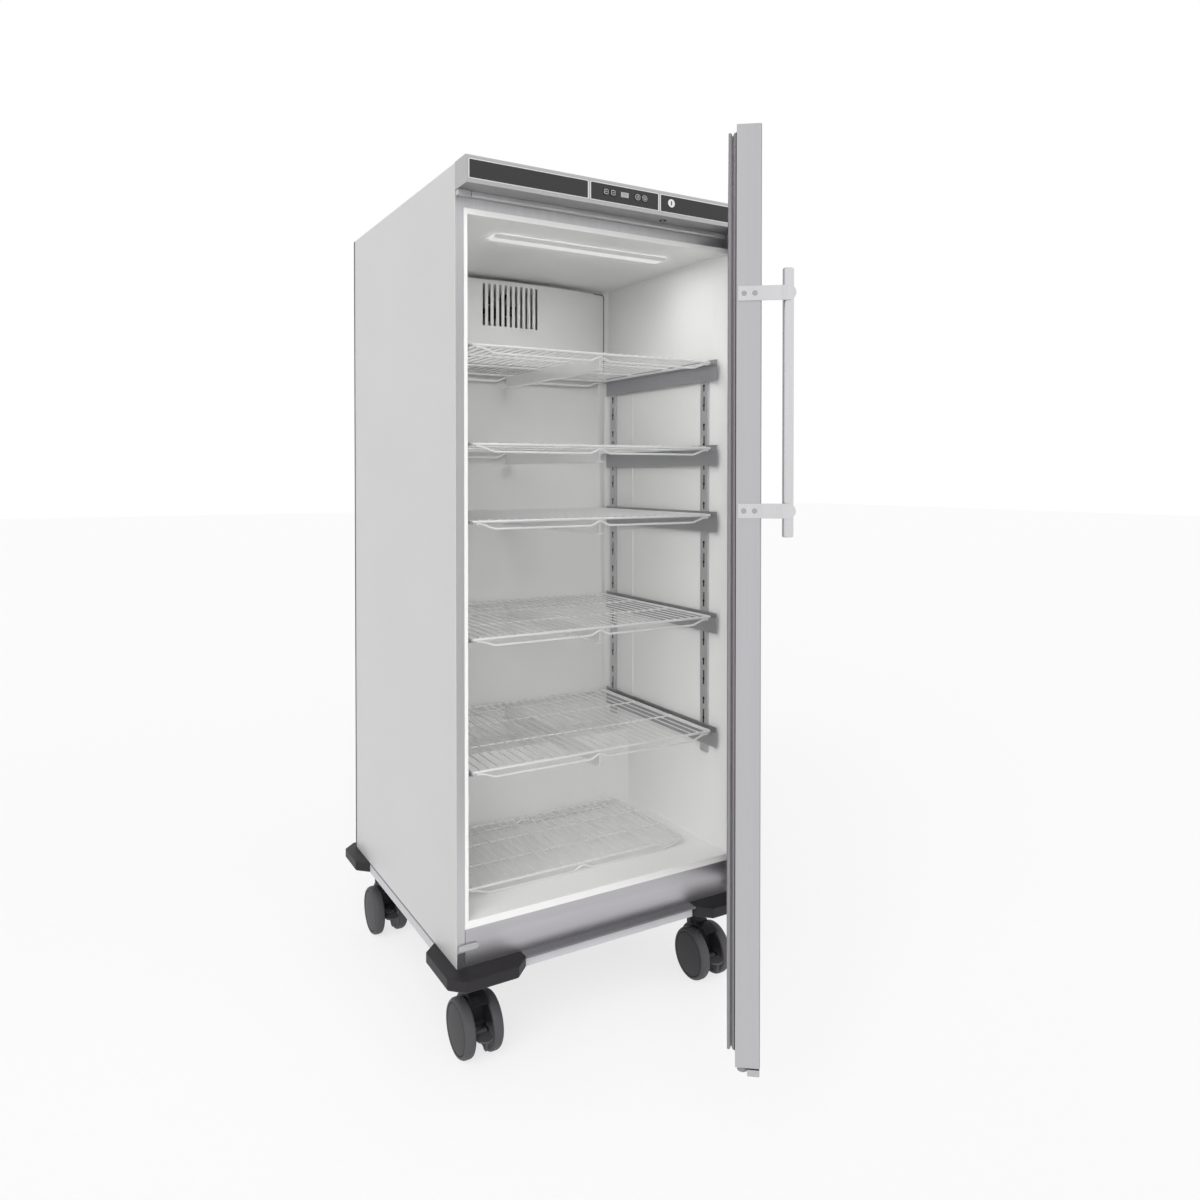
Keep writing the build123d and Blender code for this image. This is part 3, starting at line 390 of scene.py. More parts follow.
# Front frame: two stiles and a header of stainless steel, folded and brushed along the stiles.
# The brush leaves fine bright and dark streaks, and takes the mirror off the steel.
def brushed(name, colour, along, roughness, contrast=0.09):
    """Brushed stainless steel: streaks along one axis. Real streaks are 0.1 to 0.3 mm wide and
    20 to 80 mm long; here they are 1 mm wide, so that some of them show."""
    material, tree, shader, place = new_material(name)
    scale = [1 / (1.0 * mm)] * 3
    scale[along] = 1 / (90 * mm)
    broad = [1 / (14 * mm)] * 3
    broad[along] = 1 / (700 * mm)
    fine = add(tree, "Mapping", Vector=place, Scale=scale)
    streak = add(tree, "TexNoise", Vector=fine.outputs[0], Scale=1.0, Detail=3.0)
    wide = add(tree, "Mapping", Vector=place, Scale=broad)
    band = add(tree, "TexNoise", Vector=wide.outputs[0], Scale=1.0, Detail=2.0)
    mixed = add(tree, "Math", operation="MULTIPLY_ADD", i0=band.outputs[0], i1=0.6,
                i2=streak.outputs[0])
    tone = add(tree, "MapRange", Value=mixed.outputs[0], From_Min=0.4, From_Max=1.2,
               To_Min=1 - contrast, To_Max=1 + contrast)
    tint = add(tree, "HueSaturation", Value=tone.outputs[0], Color=srgb(colour))
    gloss = add(tree, "MapRange", Value=streak.outputs[0],
                To_Min=roughness - 0.08, To_Max=roughness + 0.08)
    bump = add(tree, "Bump", Height=streak.outputs[0], Strength=0.3, Distance=0.02 * mm)
    tree.links.new(tint.outputs[0], shader.inputs["Base Color"])
    tree.links.new(gloss.outputs[0], shader.inputs["Roughness"])
    tree.links.new(bump.outputs[0], shader.inputs["Normal"])
    shader.inputs["Metallic"].default_value = 1.0
    return material


frame_steel = brushed("brushed_stainless_frame", "CBCACC", 2, 0.36)
dress(frame_steel, "front_frame")


# Inner liner: a vacuum-formed tub of white ABS with soft corners and a satin gloss. Its flange fills
# the frame's opening, and one fine bead stiffens the right wall.
liner_abs = moulded("abs_liner", "EDEDEC", 0.34, 1.2, 0.02)
flange_y, pocket_low, pocket_y = -360 * mm, 1560 * mm, 195 * mm
eased("inner_liner", 5, liner_abs, over=40, segments=3,
      where=lambda middle: middle.y > flange_y and (middle.z < pocket_low or middle.y < pocket_y))
wall_x, bead_y, bead_ends, wall_bead_radius = 341 * mm, 60 * mm, (540 * mm, 1560 * mm), 2 * mm
wall_bead = carried(circle(wall_bead_radius, 8), [(wall_x, bead_y, z) for z in bead_ends], up=(0, 1, 0))
put("liner_bead", [wall_bead], liner_abs, "cabinet", "liner_plastic")


# Insulation: rigid polyurethane foam, foamed in place between the casing and the liner, and in the
# door. Closed cells give it a pale yellow, matt and slightly pitted face, hidden on every side.
foam, tree, shader, place = new_material("rigid_polyurethane_foam")
cells = add(tree, "TexVoronoi", Vector=place, Scale=1 / (3 * mm))
tone = add(tree, "MapRange", Value=cells.outputs["Distance"], To_Min=0.85, To_Max=1.05)
tint = add(tree, "HueSaturation", Value=tone.outputs[0], Color=srgb("DCCF9A"))
bump = add(tree, "Bump", Height=cells.outputs["Distance"], Strength=0.5, Distance=0.4 * mm)
tree.links.new(tint.outputs[0], shader.inputs["Base Color"])
tree.links.new(bump.outputs[0], shader.inputs["Normal"])
shader.inputs["Roughness"].default_value = 0.85
dress(foam, "insulation_foam", "door_foam")


# Uprights and brackets: slotted channels screwed to the side walls, and folded runners that hook on
# them. Both are plain stainless sheet, duller than the frame. A dark strip in each channel's hollow is
# painted shade that shows through the slots, and a small keyhole by each of them is a flat dark mark on
# the face, painted shade of a hole.
carrier_steel = plain_metal("stainless_sheet", "D9D9DB", 0.5, 9)
dress(carrier_steel, "shelf_uprights")
# Painted shade: dark strips behind the slots, and flat dark keyhole marks on the uprights' face.
slot_shade_paint = moulded("slot_shadow", "2E2E30", 0.8, 0.5, 0.01)
low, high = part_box("shelf_uprights")
depth, half_width, hollow_depth = 6 * mm, 15 * mm, 2.6 * mm
end_gap, first_keyhole, last_keyhole, keyhole_pitch = 2 * mm, 22 * mm, 30 * mm, 50 * mm
corners = np.array([(-1, -1), (1, -1), (1, 1), (-1, 1)])
hollow, keyhole_leg = corners * (0.6 * mm, 7 * mm), corners * (0.12 * mm, 2.6 * mm)
keyhole_eye = np.array([(0, -0.12), (4.2, -0.12), (4.2, 0.12), (0, 0.12)]) * mm
leg_length, eye_rise = 11 * mm, 14 * mm
dark = []
for side, face_x in ((-1, low.x + depth), (1, high.x - depth)):
    for row_y in (low.y + half_width, high.y - half_width):
        back_x = face_x + side * hollow_depth
        back_ends = [(back_x, row_y, low.z + end_gap), (back_x, row_y, high.z - end_gap)]
        dark.append(carried(hollow, back_ends, up=(0, 1, 0)))
        for z in np.arange(low.z + first_keyhole, high.z - last_keyhole, keyhole_pitch):
            leg_ends = [(face_x, row_y, z), (face_x, row_y, z + leg_length)]
            dark.append(carried(keyhole_leg, leg_ends, up=(0, 1, 0)))
            dark.append(turned(keyhole_eye, (face_x, row_y, z + eye_rise), (1, 0, 0), 12))
put("upright_painted_slot_shade", dark, slot_shade_paint, "cabinet", "carrier_steel")
runner_steel = plain_metal("runner_sheet", "BEBEC1", 0.45, 9)
eased("shelf_brackets", 0.4, runner_steel, over=40)


# Wire shelves: a bent rim wire, thin cross wires welded on top of it with their ends showing as dots,
# two stiffening wires, a dipped rail under each rim that rises to a vee, and a hanging tee. A clear
# lacquer over the bright plating makes the wires look nearly white where the light falls on them.
wire_chrome, tree, shader, place = new_material("lacquered_bright_wire")
drawn = add(tree, "TexNoise", Vector=place, Scale=1 / (4 * mm), Detail=3.0)
tone = add(tree, "MapRange", Value=drawn.outputs[0], To_Min=0.95, To_Max=1.03)
tint = add(tree, "HueSaturation", Value=tone.outputs[0], Color=srgb("F8F8F8"))
gloss = add(tree, "MapRange", Value=drawn.outputs[0], To_Min=0.26, To_Max=0.38)
tree.links.new(tint.outputs[0], shader.inputs["Base Color"])
tree.links.new(gloss.outputs[0], shader.inputs["Roughness"])
shader.inputs["Metallic"].default_value = 0.65

rim_radius, cross_radius, support_radius, rail_radius = 3 * mm, 1.5 * mm, 2 * mm, 2.5 * mm
cross_pitch, overhang, rim_corner, dip_corner = 22.5 * mm, 1.5 * mm, 9 * mm, 6 * mm
box_margin = 0.46 * mm
tee = np.array([
    (1, -4.5), (1, -35), (10, -35), (10, -37), (-10, -37), (-10, -35), (-1, -35), (-1, -4.5),
]) * mm


def wire_shelf(node, body, hanging):
    """All the wires of one shelf, on the places that its CAD node has at rest. Wires that are welded
    together sink into each other by a fifth of their radius, or by three fifths for the thin ones."""
    low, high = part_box(node)
    tee_drop, rail_drop = 37 * mm, 19 * mm
    z = low.z + (tee_drop if hanging else rail_drop)
    left, right = low.x + box_margin + rim_radius, high.x - box_margin - rim_radius
    y_front, y_back = low.y + box_margin + rim_radius, high.y - box_margin - rim_radius
    middle = (left + right) / 2
    corners = [(left, y_front, z), (right, y_front, z), (right, y_back, z), (left, y_back, z)]
    wires = [carried(circle(rim_radius, 10), bent(corners, rim_corner, closed=True), closed=True)]
    count = int((right - left - 2 * rim_radius) / cross_pitch)
    top = z + rim_radius + 0.4 * cross_radius
    for x in middle + cross_pitch * (np.arange(count) - (count - 1) / 2):
        ends = [(x, y_front - overhang, top), (x, y_back + overhang, top)]
        wires.append(carried(circle(cross_radius, 8), ends))
    under = top - cross_radius - 0.8 * support_radius
    for share in (1 / 3, 2 / 3):
        y = y_front + (y_back - y_front) * share
        wires.append(carried(circle(support_radius, 8), [(left, y, under), (right, y, under)]))
    half = (right - left) / 2 + rim_radius
    high_z, low_z = z - rim_radius - 0.8 * rail_radius, z - rail_drop + rail_radius
    start, slope_top, slope_foot, vee = half - 13 * mm, half - 26 * mm, half - 58 * mm, 24 * mm
    steps = [(-start, high_z), (-slope_top, high_z), (-slope_foot, low_z), (-vee, low_z), (0, high_z),
             (vee, low_z), (slope_foot, low_z), (slope_top, high_z), (start, high_z)]
    for y in (y_front, y_back):
        dipped = bent([(middle + x, y, height) for x, height in steps], dip_corner)
        wires.append(carried(circle(rail_radius, 10), dipped))
    if hanging:
        ends = [(middle, y_front + rail_radius, z), (middle, y_back - rail_radius, z)]
        wires.append(carried(tee, ends))
    put(node + "_wires", wires, wire_chrome, body, "shelf_wire", (node,))


for number in range(1, 6):
    wire_shelf(f"wire_shelf_{number}", f"shelf_{number}", True)
wire_shelf("floor_shelf", "floor_shelf_body", False)


# Lamp: a frosted acrylic cover in the ceiling, lit by a tube behind it that shows as a paler band,
# snapped into the liner. Its flat gives off more light than its rim, and both give off more than the
# eye sees of them, so that the cover doesn't clip to white.
low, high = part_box("light_diffuser")
tube_y = (low.y + high.y) / 2
frosted, tree, shader, place = new_material("frosted_acrylic")
frost = add(tree, "TexNoise", Vector=place, Scale=1 / (1.5 * mm), Detail=2.0)
bump = add(tree, "Bump", Height=frost.outputs[0], Strength=0.4, Distance=0.05 * mm)
tree.links.new(bump.outputs[0], shader.inputs["Normal"])
shader.inputs["Base Color"].default_value = srgb("C2C2C0")
shader.inputs["Roughness"].default_value = 0.55
shader.inputs["Emission Color"].default_value = srgb("FFFFFF")
beyond = add(tree, "SeparateXYZ", Vector=place)
off_tube = add(tree, "Math", operation="SUBTRACT", i0=beyond.outputs["Y"], i1=tube_y)
far = add(tree, "Math", operation="ABSOLUTE", i0=off_tube.outputs[0])
seen_glow = add(tree, "MapRange", interpolation_type="SMOOTHSTEP", Value=far.outputs[0],
                From_Min=4 * mm, From_Max=26 * mm, To_Min=0.5, To_Max=0.16)
facing = add(tree, "SeparateXYZ", Vector=add(tree, "NewGeometry").outputs["Normal"])
lit_glow = add(tree, "MapRange", Value=facing.outputs["Z"], From_Min=-1.0, From_Max=0.0,
               To_Min=8.8, To_Max=1.2)
strength = add(tree, "Mix", data_type="FLOAT", i0=seen_directly(tree), i2=lit_glow.outputs[0],
               i3=seen_glow.outputs[0])
tree.links.new(strength.outputs[0], shader.inputs["Emission Strength"])
eased("light_diffuser", 1.5, frosted, over=40, segments=3)


# Air duct: a bowed white ABS moulding across the back that the fan blows through. It snaps into the
# liner, and a thin grey rubber seal shows along its side and upper edges.
eased("air_duct_cover", 0.8, liner_abs, over=40)
low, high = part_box("air_duct_cover")
seal_rubber = moulded("grey_duct_seal", "59595B", 0.6, 0.6, 0.01)
seal_radius, seal_inset, seal_turn, seal_bow, seal_corner = 1.2 * mm, 4.4 * mm, 40 * mm, 9 * mm, 9 * mm
seal_y = high.y - seal_inset
seal_end = (low.x + seal_turn, seal_y - seal_bow, high.z)
seal_line = bent([(low.x, seal_y, low.z), (low.x, seal_y, high.z), seal_end], seal_corner)
seals = [carried(circle(seal_radius, 8), seal_line * (side, 1, 1), up=(0, 1, 0)) for side in (1, -1)]
put("duct_seal", seals, seal_rubber, "cabinet", "bush_plastic")


# Cooling parts behind the duct and in the machine space: fins and tubes of bare aluminium, a black
# moulded fan on a black motor, and a compressor can in baked black enamel.
fin_stock = plain_metal("aluminium_fin_stock", "B9BBBD", 0.35, 5)
dress(fin_stock, "evaporator_coil", "condenser")
fan_black = moulded("glass_filled_nylon", "2A2A2C", 0.5, 0.7, 0.03)
eased("evaporator_fan", 0.3, fan_black, over=40)
enamel = coated_steel("baked_black_enamel", "1E1E20", 0.28)
eased("fan_motor", 0.8, enamel, over=40)
eased("compressor", 0.8, enamel, over=40)


# Control housing: an extruded aluminium hood, brushed and anodised to an even satin, and three panes
# of dark acrylic let into it, smooth enough to mirror. A bright bead of metal frames each pane.
anodised = brushed("satin_anodised_aluminium", "BABABB", 0, 0.4, 0.04)
eased("control_housing", 0.7, anodised, over=40)
pane_plastic = moulded("smoked_acrylic", "242425", 0.16, 1.5, 0.004)
trim_metal = plain_metal("bright_anodised_trim", "EEEEEE", 0.3, 12)
trim_over, trim_corner = 1.3 * mm, 3.4 * mm
trim_section = ((0, 0.2), (0, -0.3), (0.3, -0.5), (1.5, -0.5), (1.9, -0.2), (1.9, 0.2))


def rounded_frame(low_x, high_x, low_z, high_z, radius, inset, y):
    """A rectangle with round corners at one depth, drawn in by an inset: four quarter circles, each
    turned by a right angle more than the last, about the corners of the rectangle that is left when
    the corner radius is taken off all round."""
    angle = np.radians(np.linspace(0, 90, 7))
    r = max(radius - inset, 0.2 * mm)
    corners = [(high_x - radius, high_z - radius, 0), (low_x + radius, high_z - radius, 90),
               (low_x + radius, low_z + radius, 180), (high_x - radius, low_z + radius, 270)]
    rows = [np.column_stack([x + r * np.cos(angle + math.radians(turn)), np.full(7, y),
                             z + r * np.sin(angle + math.radians(turn))]) for x, z, turn in corners]
    return np.vstack(rows)


for side in ("left", "centre", "right"):
    eased(f"fascia_pane_{side}", 0.3, pane_plastic, over=40)
    low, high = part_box(f"fascia_pane_{side}")
    edges = (low.x - trim_over, high.x + trim_over, low.z - trim_over, high.z + trim_over)
    trim = np.stack([rounded_frame(*edges, trim_corner, inset * mm, low.y + y * mm)
                     for inset, y in trim_section])
    frame_bead = shell(trim, around=True, ring=True)
    put(f"pane_trim_{side}", [frame_bead], trim_metal, "cabinet", "fascia_metal")


# Keys, display and lock: soft, matt dark keys with printed outlines and plain signs, a pale and
# shiny liquid-crystal window, and a lock barrel in polished chrome, with a keyway. The bolt below
# the lock drops into the door.
key_rubber = moulded("silicone_key", "232324", 0.5, 0.6, 0.01)
ink = moulded("white_print", "DCDCDD", 0.6, 0.5, 0.004)
face_y = -438 * mm
key_face = face_y - 1.4 * mm
row_z = 1886 * mm
ink_thick = 0.16 * mm


def stroke(points, width, x, z, y, closed=False):
    """A flat printed line: a thin strip of a given width that follows points of (across, up)."""
    points = np.asarray(points) * mm
    path = np.column_stack([x + points[:, 0], np.full(len(points), y), z + points[:, 1]])
    half = width / 2 * mm
    strip = np.array([(-half, ink_thick), (half, ink_thick), (half, -ink_thick), (-half, -ink_thick)])
    return carried(strip, path, up=(0, -1, 0), closed=closed)


def arc(radius, low, high, count=24, centre=(0, 0)):
    """Points on a circle between two angles in degrees, as (across, up)."""
    angle = np.radians(np.linspace(low, high, count))
    return np.column_stack([centre[0] + radius * np.cos(angle), centre[1] + radius * np.sin(angle)])


square = [(-4.8, -3.8), (-3.8, -4.8), (3.8, -4.8), (4.8, -3.8), (4.8, 3.8), (3.8, 4.8), (-3.8, 4.8),
          (-4.8, 3.8)]
round_line = arc(6.2, 0, 352, 45)
light_sign = [(arc(2.0, -50, 230, 20, (0, 0.6)), False), ([(-1.1, -2.0), (1.1, -2.0)], False),
              ([(-0.8, -3.0), (0.8, -3.0)], False), (round_line, True)]
power_sign = [(arc(2.6, 125, 415, 20), False), ([(0, 0.4), (0, 3.4)], False), (round_line, True)]
signs = {
    "key_up": (-48, [([(-2.2, -0.9), (0, 1.3), (2.2, -0.9)], False), (square, True)]),
    "key_down": (-30, [([(-2.2, 0.9), (0, -1.3), (2.2, 0.9)], False), (square, True)]),
    "key_light": (34.5, light_sign),
    "key_power": (53, power_sign),
}
for node, (x, lines) in signs.items():
    eased(node, 0.5, key_rubber, over=40)
    strokes = [stroke(points, 0.7, x * mm, row_z, key_face - ink_thick / 2, closed)
               for points, closed in lines]
    put(node + "_sign", strokes, ink, f"{node}_cap", "display")

pale_glass, tree, shader, place = new_material("liquid_crystal_window")
haze = add(tree, "TexNoise", Vector=place, Scale=1 / (6 * mm), Detail=1.0)
tone = add(tree, "MapRange", Value=haze.outputs[0], To_Min=0.94, To_Max=1.02)
tint = add(tree, "HueSaturation", Value=tone.outputs[0], Color=srgb("A9ABAB"))
tree.links.new(tint.outputs[0], shader.inputs["Base Color"])
shader.inputs["Roughness"].default_value = 0.12
dress(pale_glass, "display_window")
segment_ink = moulded("liquid_crystal_segments", "6A6D6E", 0.4, 0.5, 0.002)
bars = {
    "a": ((-1, 2), (1, 2)), "b": ((1, 2), (1, 0)), "c": ((1, 0), (1, -2)), "d": ((-1, -2), (1, -2)),
    "e": ((-1, 0), (-1, -2)), "f": ((-1, 2), (-1, 0)), "g": ((-1, 0), (1, 0)),
}
display_low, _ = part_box("display_window")
display_x, digit_x, digit_half_width, digit_quarter_height = 1 * mm, 2.6, 1.5, 1.7
digits = []
for place_x, lit_bars in ((-digit_x, "abcdef"), (digit_x, "bcfg")):
    for bar in lit_bars:
        ends = [(place_x + digit_half_width * across, digit_quarter_height * up)
                for across, up in bars[bar]]
        digits.append(stroke(ends, 0.6, display_x, row_z, display_low.y))
put("display_digits", digits, segment_ink, "cabinet", "display")

chrome = plain_metal("polished_chrome", "E6E6E8", 0.14, 8)
eased("lock_cylinder", 0.6, chrome, over=40, segments=3)
dark_slot = moulded("keyway_shadow", "232324", 0.7, 0.5, 0.01)
# Painted shade: the keyway is a dark prism that stands for the shade inside the slot.
keyway = np.array([(-0.9, -3.6), (0.9, -3.6), (1.5, 0), (0.9, 3.6), (-0.9, 3.6), (-1.5, 0)]) * mm
lock_x = 126 * mm
keyway_front, keyway_foot = face_y - 2.1 * mm, face_y + 1 * mm
keyway_ends = [(lock_x, keyway_front, row_z), (lock_x, keyway_foot, row_z)]
put("lock_keyway", [carried(keyway, keyway_ends)], dark_slot, "lock_barrel", "lock_metal")
eased("lock_bolt", 0.5, chrome, over=40)
bolt_low, bolt_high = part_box("lock_bolt")
guide = np.array([(4.2, 0.4), (4.4, -0.9), (6.6, -1.3), (8, -0.9), (8.4, 0.4)]) * mm
guide_spot = ((bolt_low.x + bolt_high.x) / 2, (bolt_low.y + bolt_high.y) / 2, bolt_low.z + 1 * mm)
bolt_guide = turned(guide, guide_spot, (0, 0, 1), ring=True)
put("lock_bolt_guide", [bolt_guide], dark_slot, "cabinet", "bush_plastic")


# Hinges and their rail: a stainless strip under the housing, flat and folded arms with turned pins,
# and grey blanks and a dark plate that close the seats of the side that isn't used. A dark joint
# shows where the upper blank meets the rail.
rail_steel = brushed("brushed_stainless_rail", "CDCDCE", 0, 0.38)
eased("hinge_rail", 0.8, rail_steel, over=25)
for node in ("hinge_bracket_top", "hinge_bracket_bottom"):
    eased(node, 0.6, carrier_steel, over=40)
blank_grey = moulded("grey_acetal", "AEAEB0", 0.45, 0.8, 0.01)
eased("hinge_blanks", 1.8, blank_grey, over=30, segments=3)
front_y = -374 * mm
rail_low, rail_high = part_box("hinge_rail")
joint = np.array([(-0.7, -2), (0.7, -2), (0.7, 0.4), (-0.7, 0.4)]) * mm
joint_x, joint_inset = -343.4 * mm, 0.5 * mm
joint_low, joint_high = rail_low.z + joint_inset, rail_high.z - joint_inset
joint_ends = [(joint_x, rail_low.y, joint_low), (joint_x, rail_low.y, joint_high)]
rail_joint = carried(joint, joint_ends, up=(0, -1, 0))
put("hinge_rail_joint", [rail_joint], dark_slot, "cabinet", "bush_plastic")
seat_plastic = moulded("dark_acetal", "4C4B4E", 0.4, 0.8, 0.01)
seat_plate = np.array([(-8.4, -1), (-8.4, 0.3), (-7.8, 0.9), (7.8, 0.9), (8.4, 0.3), (8.4, -1)]) * mm
seat_x = -364.6 * mm
seat_ends = [(seat_x, front_y, 232 * mm), (seat_x, front_y, 257 * mm)]
hinge_seat = carried(seat_plate, seat_ends, up=(0, -1, 0))
put("unused_hinge_seat", [hinge_seat], seat_plastic, "cabinet", "bush_plastic")


# Plinth: a darker brushed stainless strip between the stiles, below the mouth. A thin grey seam of
# sealant closes the joint with each stile.
plinth_steel = brushed("brushed_stainless_plinth", "C4C2C6", 0, 0.4)
dress(plinth_steel, "plinth_panel")
seam = np.array([(-0.6, -1), (0.6, -1), (0.6, 0.3), (-0.6, 0.3)]) * mm
stile_inner, seam_low, seam_high = 355.5 * mm, 228 * mm, 304 * mm
seams = [carried(seam, [(x, front_y, seam_low), (x, front_y, seam_high)], up=(0, -1, 0))
         for x in (-stile_inner, stile_inner)]
put("plinth_seams", seams, seal_rubber, "cabinet", "bush_plastic")


# Chassis: a base pan whose lip shows under the plinth, its grey darkened as painted shade for the
# plinth's shadow, on a welded frame of flat rails in light grey paint. A folded strip of the same sheet
# hangs under the lip, between the bumpers.
# Painted shade: the pan's dark grey stands for the plinth's shadow over its lip.
pan_coat_painted_shade = coated_steel("pan_grey_darkened_as_shade", "6E6D70", 0.45)
eased("base_pan", 0.8, pan_coat_painted_shade, over=40)
chassis_paint = coated_steel("grey_chassis_paint", "C6C5C9", 0.48)
eased("chassis_frame", 0.8, chassis_paint, over=40)
apron = np.array([
    (1, 0), (13, 0), (14, -1), (14, -23.4), (13.4, -24), (12.6, -23.4), (12.6, -1.4), (1, -1.4),
]) * mm
apron_half, apron_top = 225.5 * mm, 221 * mm
apron_ends = [(-apron_half, front_y, apron_top), (apron_half, front_y, apron_top)]
put("chassis_apron", [carried(apron, apron_ends)], chassis_paint, "cabinet", "chassis_paint")


# Corner bumpers: thick charcoal polyethylene blocks, bevelled in plan and below, bolted under each
# corner. Their moulded grain is fine and dull.
bumper_poly = moulded("charcoal_polyethylene", "252326", 0.5, 1.0, 0.05, shine=0.3)
eased("corner_bumpers", 1.6, bumper_poly, over=20, segments=3)


# Castors: twin discs of satin grey nylon with a shallow dome, and a thick, duller rubber tread, on one
# axle. The tread's paler grey is partly its own and partly painted light, for the light that falls on
# its rounded outer face. A moulded fork turns under a zinc-plated plate, and a pedal between the discs
# is the brake.
castor_nylon = moulded("grey_castor_nylon", "2C2B2E", 0.46, 1.0, 0.03, shine=0.3)
fork_nylon = moulded("black_castor_nylon", "1F1E20", 0.5, 1.0, 0.03, shine=0.3)
# Partly painted light: the tread grey is paler than the discs for the light on its outer face; the
# pedals share it.
tread_grey_painted_lighter = moulded("paler_tread_with_painted_light", "4B4A4D", 0.55, 0.6, 0.02, shine=0.3)
disc_profile = np.array([
    (6, 3), (48, 3), (52.4, 1.6), (52.4, 22), (51.9, 22.9), (50.8, 23.4), (44, 23.9), (30, 24.6),
    (14, 24.95), (0, 25),
]) * mm
tread_profile = np.array([
    (52.2, 2), (53.4, 0.8), (56, 0.3), (59, 0.6), (61.2, 2.2), (62.3, 4.6), (62.48, 7.5), (62.48, 14),
    (62.2, 17.2), (61.1, 20), (59.3, 22.6), (57.4, 24.1), (55.6, 24.6), (54.2, 24.2), (53.4, 23),
    (53.2, 20.4), (52.2, 20),
]) * mm
axle_profile = np.array([(0, -22), (6, -22), (6, 22), (0, 22)]) * mm
gap_half = 20 * mm
for corner in ("front_left", "front_right", "rear_left", "rear_right"):
    low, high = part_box(f"castor_wheels_{corner}")
    hub = np.array([(low.x + high.x) / 2, (low.y + high.y) / 2, (low.z + high.z) / 2])
    discs = [turned(axle_profile, hub, (1, 0, 0), 16)]
    treads = []
    for side in (-1, 1):
        inner = hub + (side * gap_half, 0, 0)
        discs.append(turned(disc_profile, inner, (side, 0, 0), 72))
        treads.append(turned(tread_profile, inner, (side, 0, 0), 72, ring=True))
    put(f"castor_treads_{corner}", treads, tread_grey_painted_lighter, f"wheels_{corner}", "castor_plastic", sharp=50)
    put(f"castor_discs_{corner}", discs, castor_nylon, f"wheels_{corner}", "castor_plastic",
        (f"castor_wheels_{corner}",), sharp=50)
    eased(f"castor_fork_{corner}", 1.0, fork_nylon, over=35)
    eased(f"brake_pedal_{corner}", 0.8, tread_grey_painted_lighter, over=35)
dress(zinc, "castor_plates")


# Door: a shell of stainless steel, brushed upright, over foam, closed inside by a white ABS panel.
# The brushing shows as faint long streaks. Acetal bushes in its heel turn on the hinge pins, and a
# spare one fills the other corner.
door_steel = brushed("brushed_stainless_door", "C2C1C4", 2, 0.34, 0.045)
eased("door_skin", 0.8, door_steel, over=60)
dress(liner_abs, "door_liner")
bush_grey = moulded("acetal_bush", "8C8B8E", 0.4, 0.8, 0.01)
eased("door_pivot_bushes", 0.8, bush_grey, over=40)


# Door gasket: an extruded soft vinyl bellows with a magnet in its outer lobe, mitred and welded at
# the corners. A waist between the two lobes lets it give, and a dark strip along its foot is painted
# shadow, for the shadow gap between the gasket and the door.
swing = math.radians(51.64)
pivot = np.array((353.7, -400.5, 0)) * mm
along = np.array((-math.cos(swing), -math.sin(swing), 0))
outward = np.array((math.sin(swing), -math.cos(swing), 0))


def on_door(u, out, z):
    """Places on the open door: u runs from the pivot to the free edge, out to the outer face, z up."""
    u, out, z = (part[..., None] for part in np.broadcast_arrays(u, out, z))
    return pivot + u * along + out * outward + z * (0, 0, 1)


def door_ring(profile):
    """A profile of (inset, out) taken round the door's inner face and mitred at its four corners: the
    inset counts from the gasket's outer edge."""
    loops = []
    for side_u, side_z in ((0, 0), (1, 0), (1, 1), (0, 1)):
        u = gasket_u[side_u] + (1 - 2 * side_u) * profile[:, 0]
        z = gasket_z[side_z] + (1 - 2 * side_z) * profile[:, 0]
        loops.append(on_door(u, profile[:, 1], z))
    return shell(np.array(loops), around=True, ring=True)


gasket_vinyl = moulded("soft_vinyl", "858286", 0.5, 0.8, 0.01, 0.1)
bellows = np.array([
    (0, -12.5), (0, -15.6), (0.5, -16.8), (1.8, -17.6), (3.6, -18.4), (4.3, -19.0), (3.6, -19.7),
    (1.6, -20.5), (0.4, -21.6), (0, -22.8), (0, -24.6), (0.5, -25.7), (1.6, -26.2), (11.4, -26.2),
    (12.5, -25.7), (13, -24.6), (13, -22.8), (12.6, -21.6), (11.4, -20.5), (9.4, -19.7), (8.7, -19.0),
    (9.4, -18.4), (11.2, -17.6), (12.5, -16.8), (13, -15.6), (13, -12.5),
]) * mm
gasket_u = np.array((-1.3, 708.7)) * mm
gasket_z = np.array((278, 1842)) * mm
put("gasket_bellows", [door_ring(bellows)], gasket_vinyl, "door", "gasket_rubber", ("door_gasket",),
    sharp=50)
# Painted shadow: a dark strip round the gasket's foot stands for the shadow gap beside it.
shadow_gap_profile = np.array([(-0.7, -12.4), (-0.7, -13.5), (-0.4, -14.0), (0.6, -14.0), (0.6, -12.4)]) * mm
put("gasket_foot_shadow", [door_ring(shadow_gap_profile)], dark_slot, "door", "gasket_rubber")
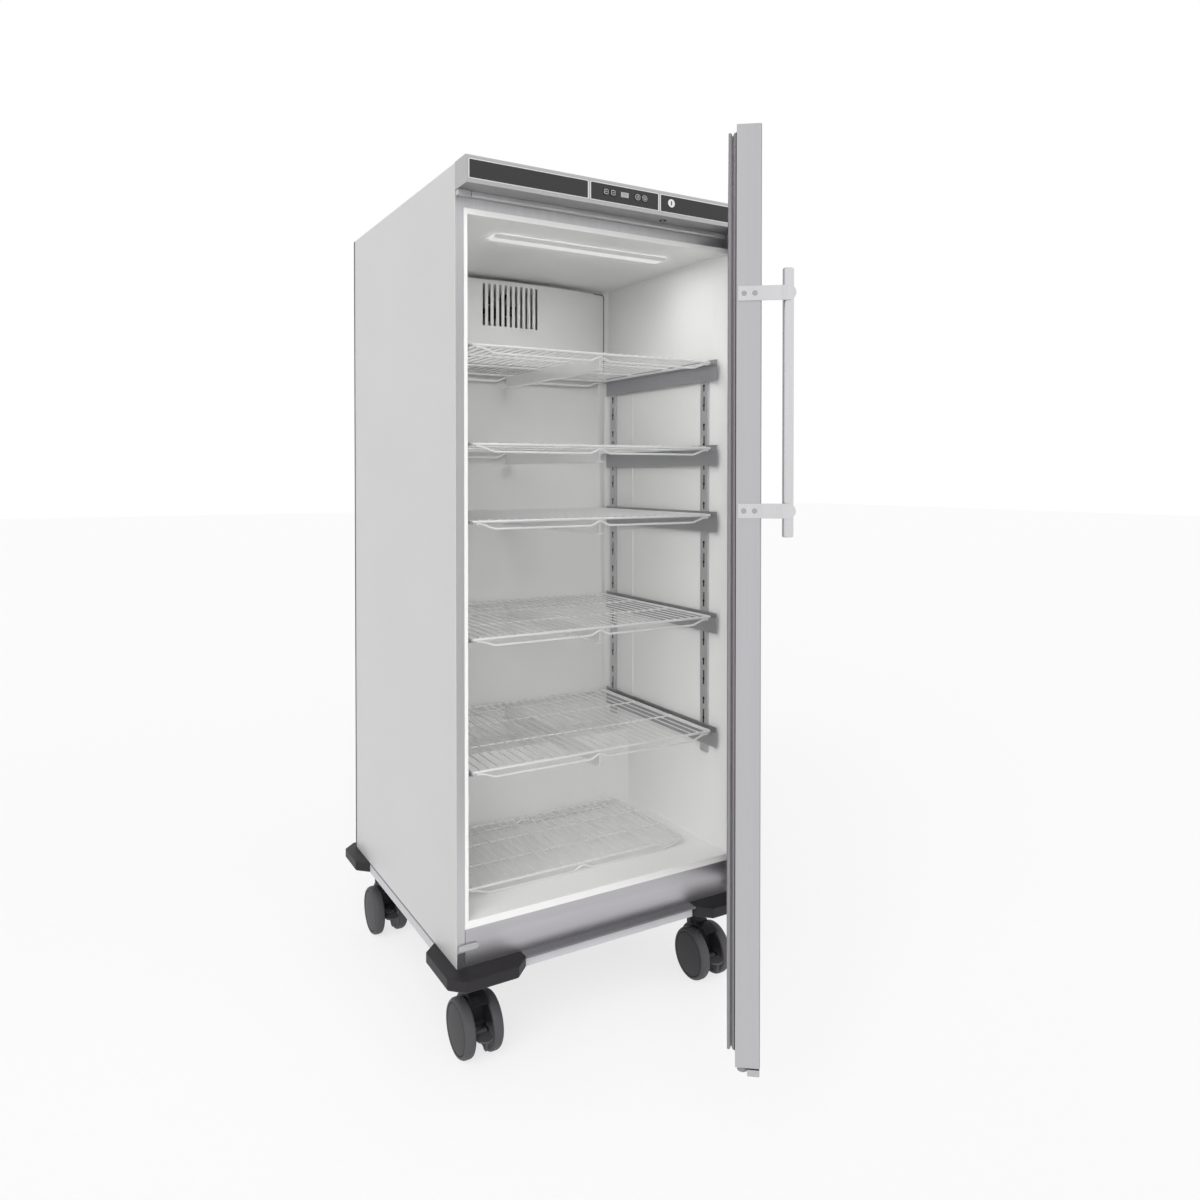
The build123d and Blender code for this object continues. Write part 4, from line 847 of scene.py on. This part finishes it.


# Corner plate: a small bent stainless plate, screwed under the door's free corner beside the spare
# bush. A dark strip between the plate and the door, drawn as a packing, is painted shadow: the narrow
# shadow line above the plate.
plate = np.array([
    (7.6, 258), (7.6, 247.8), (8.6, 246.8), (27.4, 246.8), (28.4, 247.8), (28.4, 258),
]) * mm
# Painted shadow: the dark strip on top of the corner plate stands for the shadow line above it.
shadow_strip = np.array([(10, 257.6), (10, 259.8), (26, 259.8), (26, 257.6)]) * mm
plate_ends, shadow_strip_ends = np.array((694, 728.6)) * mm, np.array((697, 726)) * mm
for name, section, ends, material, slot in (
    ("door_corner_plate", plate, plate_ends, door_steel, "brushed_steel"),
    ("door_corner_painted_shadow", shadow_strip, shadow_strip_ends, dark_slot, "gasket_rubber"),
):
    rows = on_door(ends[:, None], section[:, 0], section[:, 1])
    put(name, [shell(rows, around=True, capped=True)], material, "door", slot)


# Handle: a round stainless bar with rounded ends on two flat arms, each screwed to the door's edge
# by two socket screws. It is brushed finer than the door, so it looks brighter.
handle_steel = brushed("brushed_stainless_handle", "D6D5D7", 2, 0.26, 0.08)
bar_low, bar_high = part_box("handle_bar")
bar_radius = (bar_high.x - bar_low.x) / 2
end_radius = 2.5 * mm
bend = np.radians(np.linspace(0, 90, 6))
cap = np.column_stack([bar_radius - end_radius + end_radius * np.sin(bend),
                       end_radius - end_radius * np.cos(bend)])
length = bar_high.z - bar_low.z
bar_profile = np.vstack([[(0, 0)], cap, (cap * (1, -1) + (0, length))[::-1], [(0, length)]])
bar_foot = ((bar_low.x + bar_high.x) / 2, (bar_low.y + bar_high.y) / 2, bar_low.z)
put("handle_tube", [turned(bar_profile, bar_foot, (0, 0, 1))], handle_steel, "door", "brushed_steel",
    ("handle_bar",), sharp=60)
eased("handle_brackets", 0.8, handle_steel, over=40)

screw_steel = plain_metal("stainless_screw", "B2B2B5", 0.25, 3)
socket_head = np.array([
    (0, 0.4), (1.4, 0.4), (1.4, 2.0), (2.6, 2.0), (3.5, 1.5), (4.2, 0.7), (4.4, 0),
]) * mm
free_edge, arm_heights, screw_steps = 729.7 * mm, (1203 * mm, 1567 * mm), (0, 18 * mm)
heads = [turned(socket_head, on_door(free_edge, out, z), along, 20)
         for z in arm_heights for out in screw_steps]
put("handle_screw_heads", heads, screw_steel, "door", "lock_metal", ("handle_screws",))
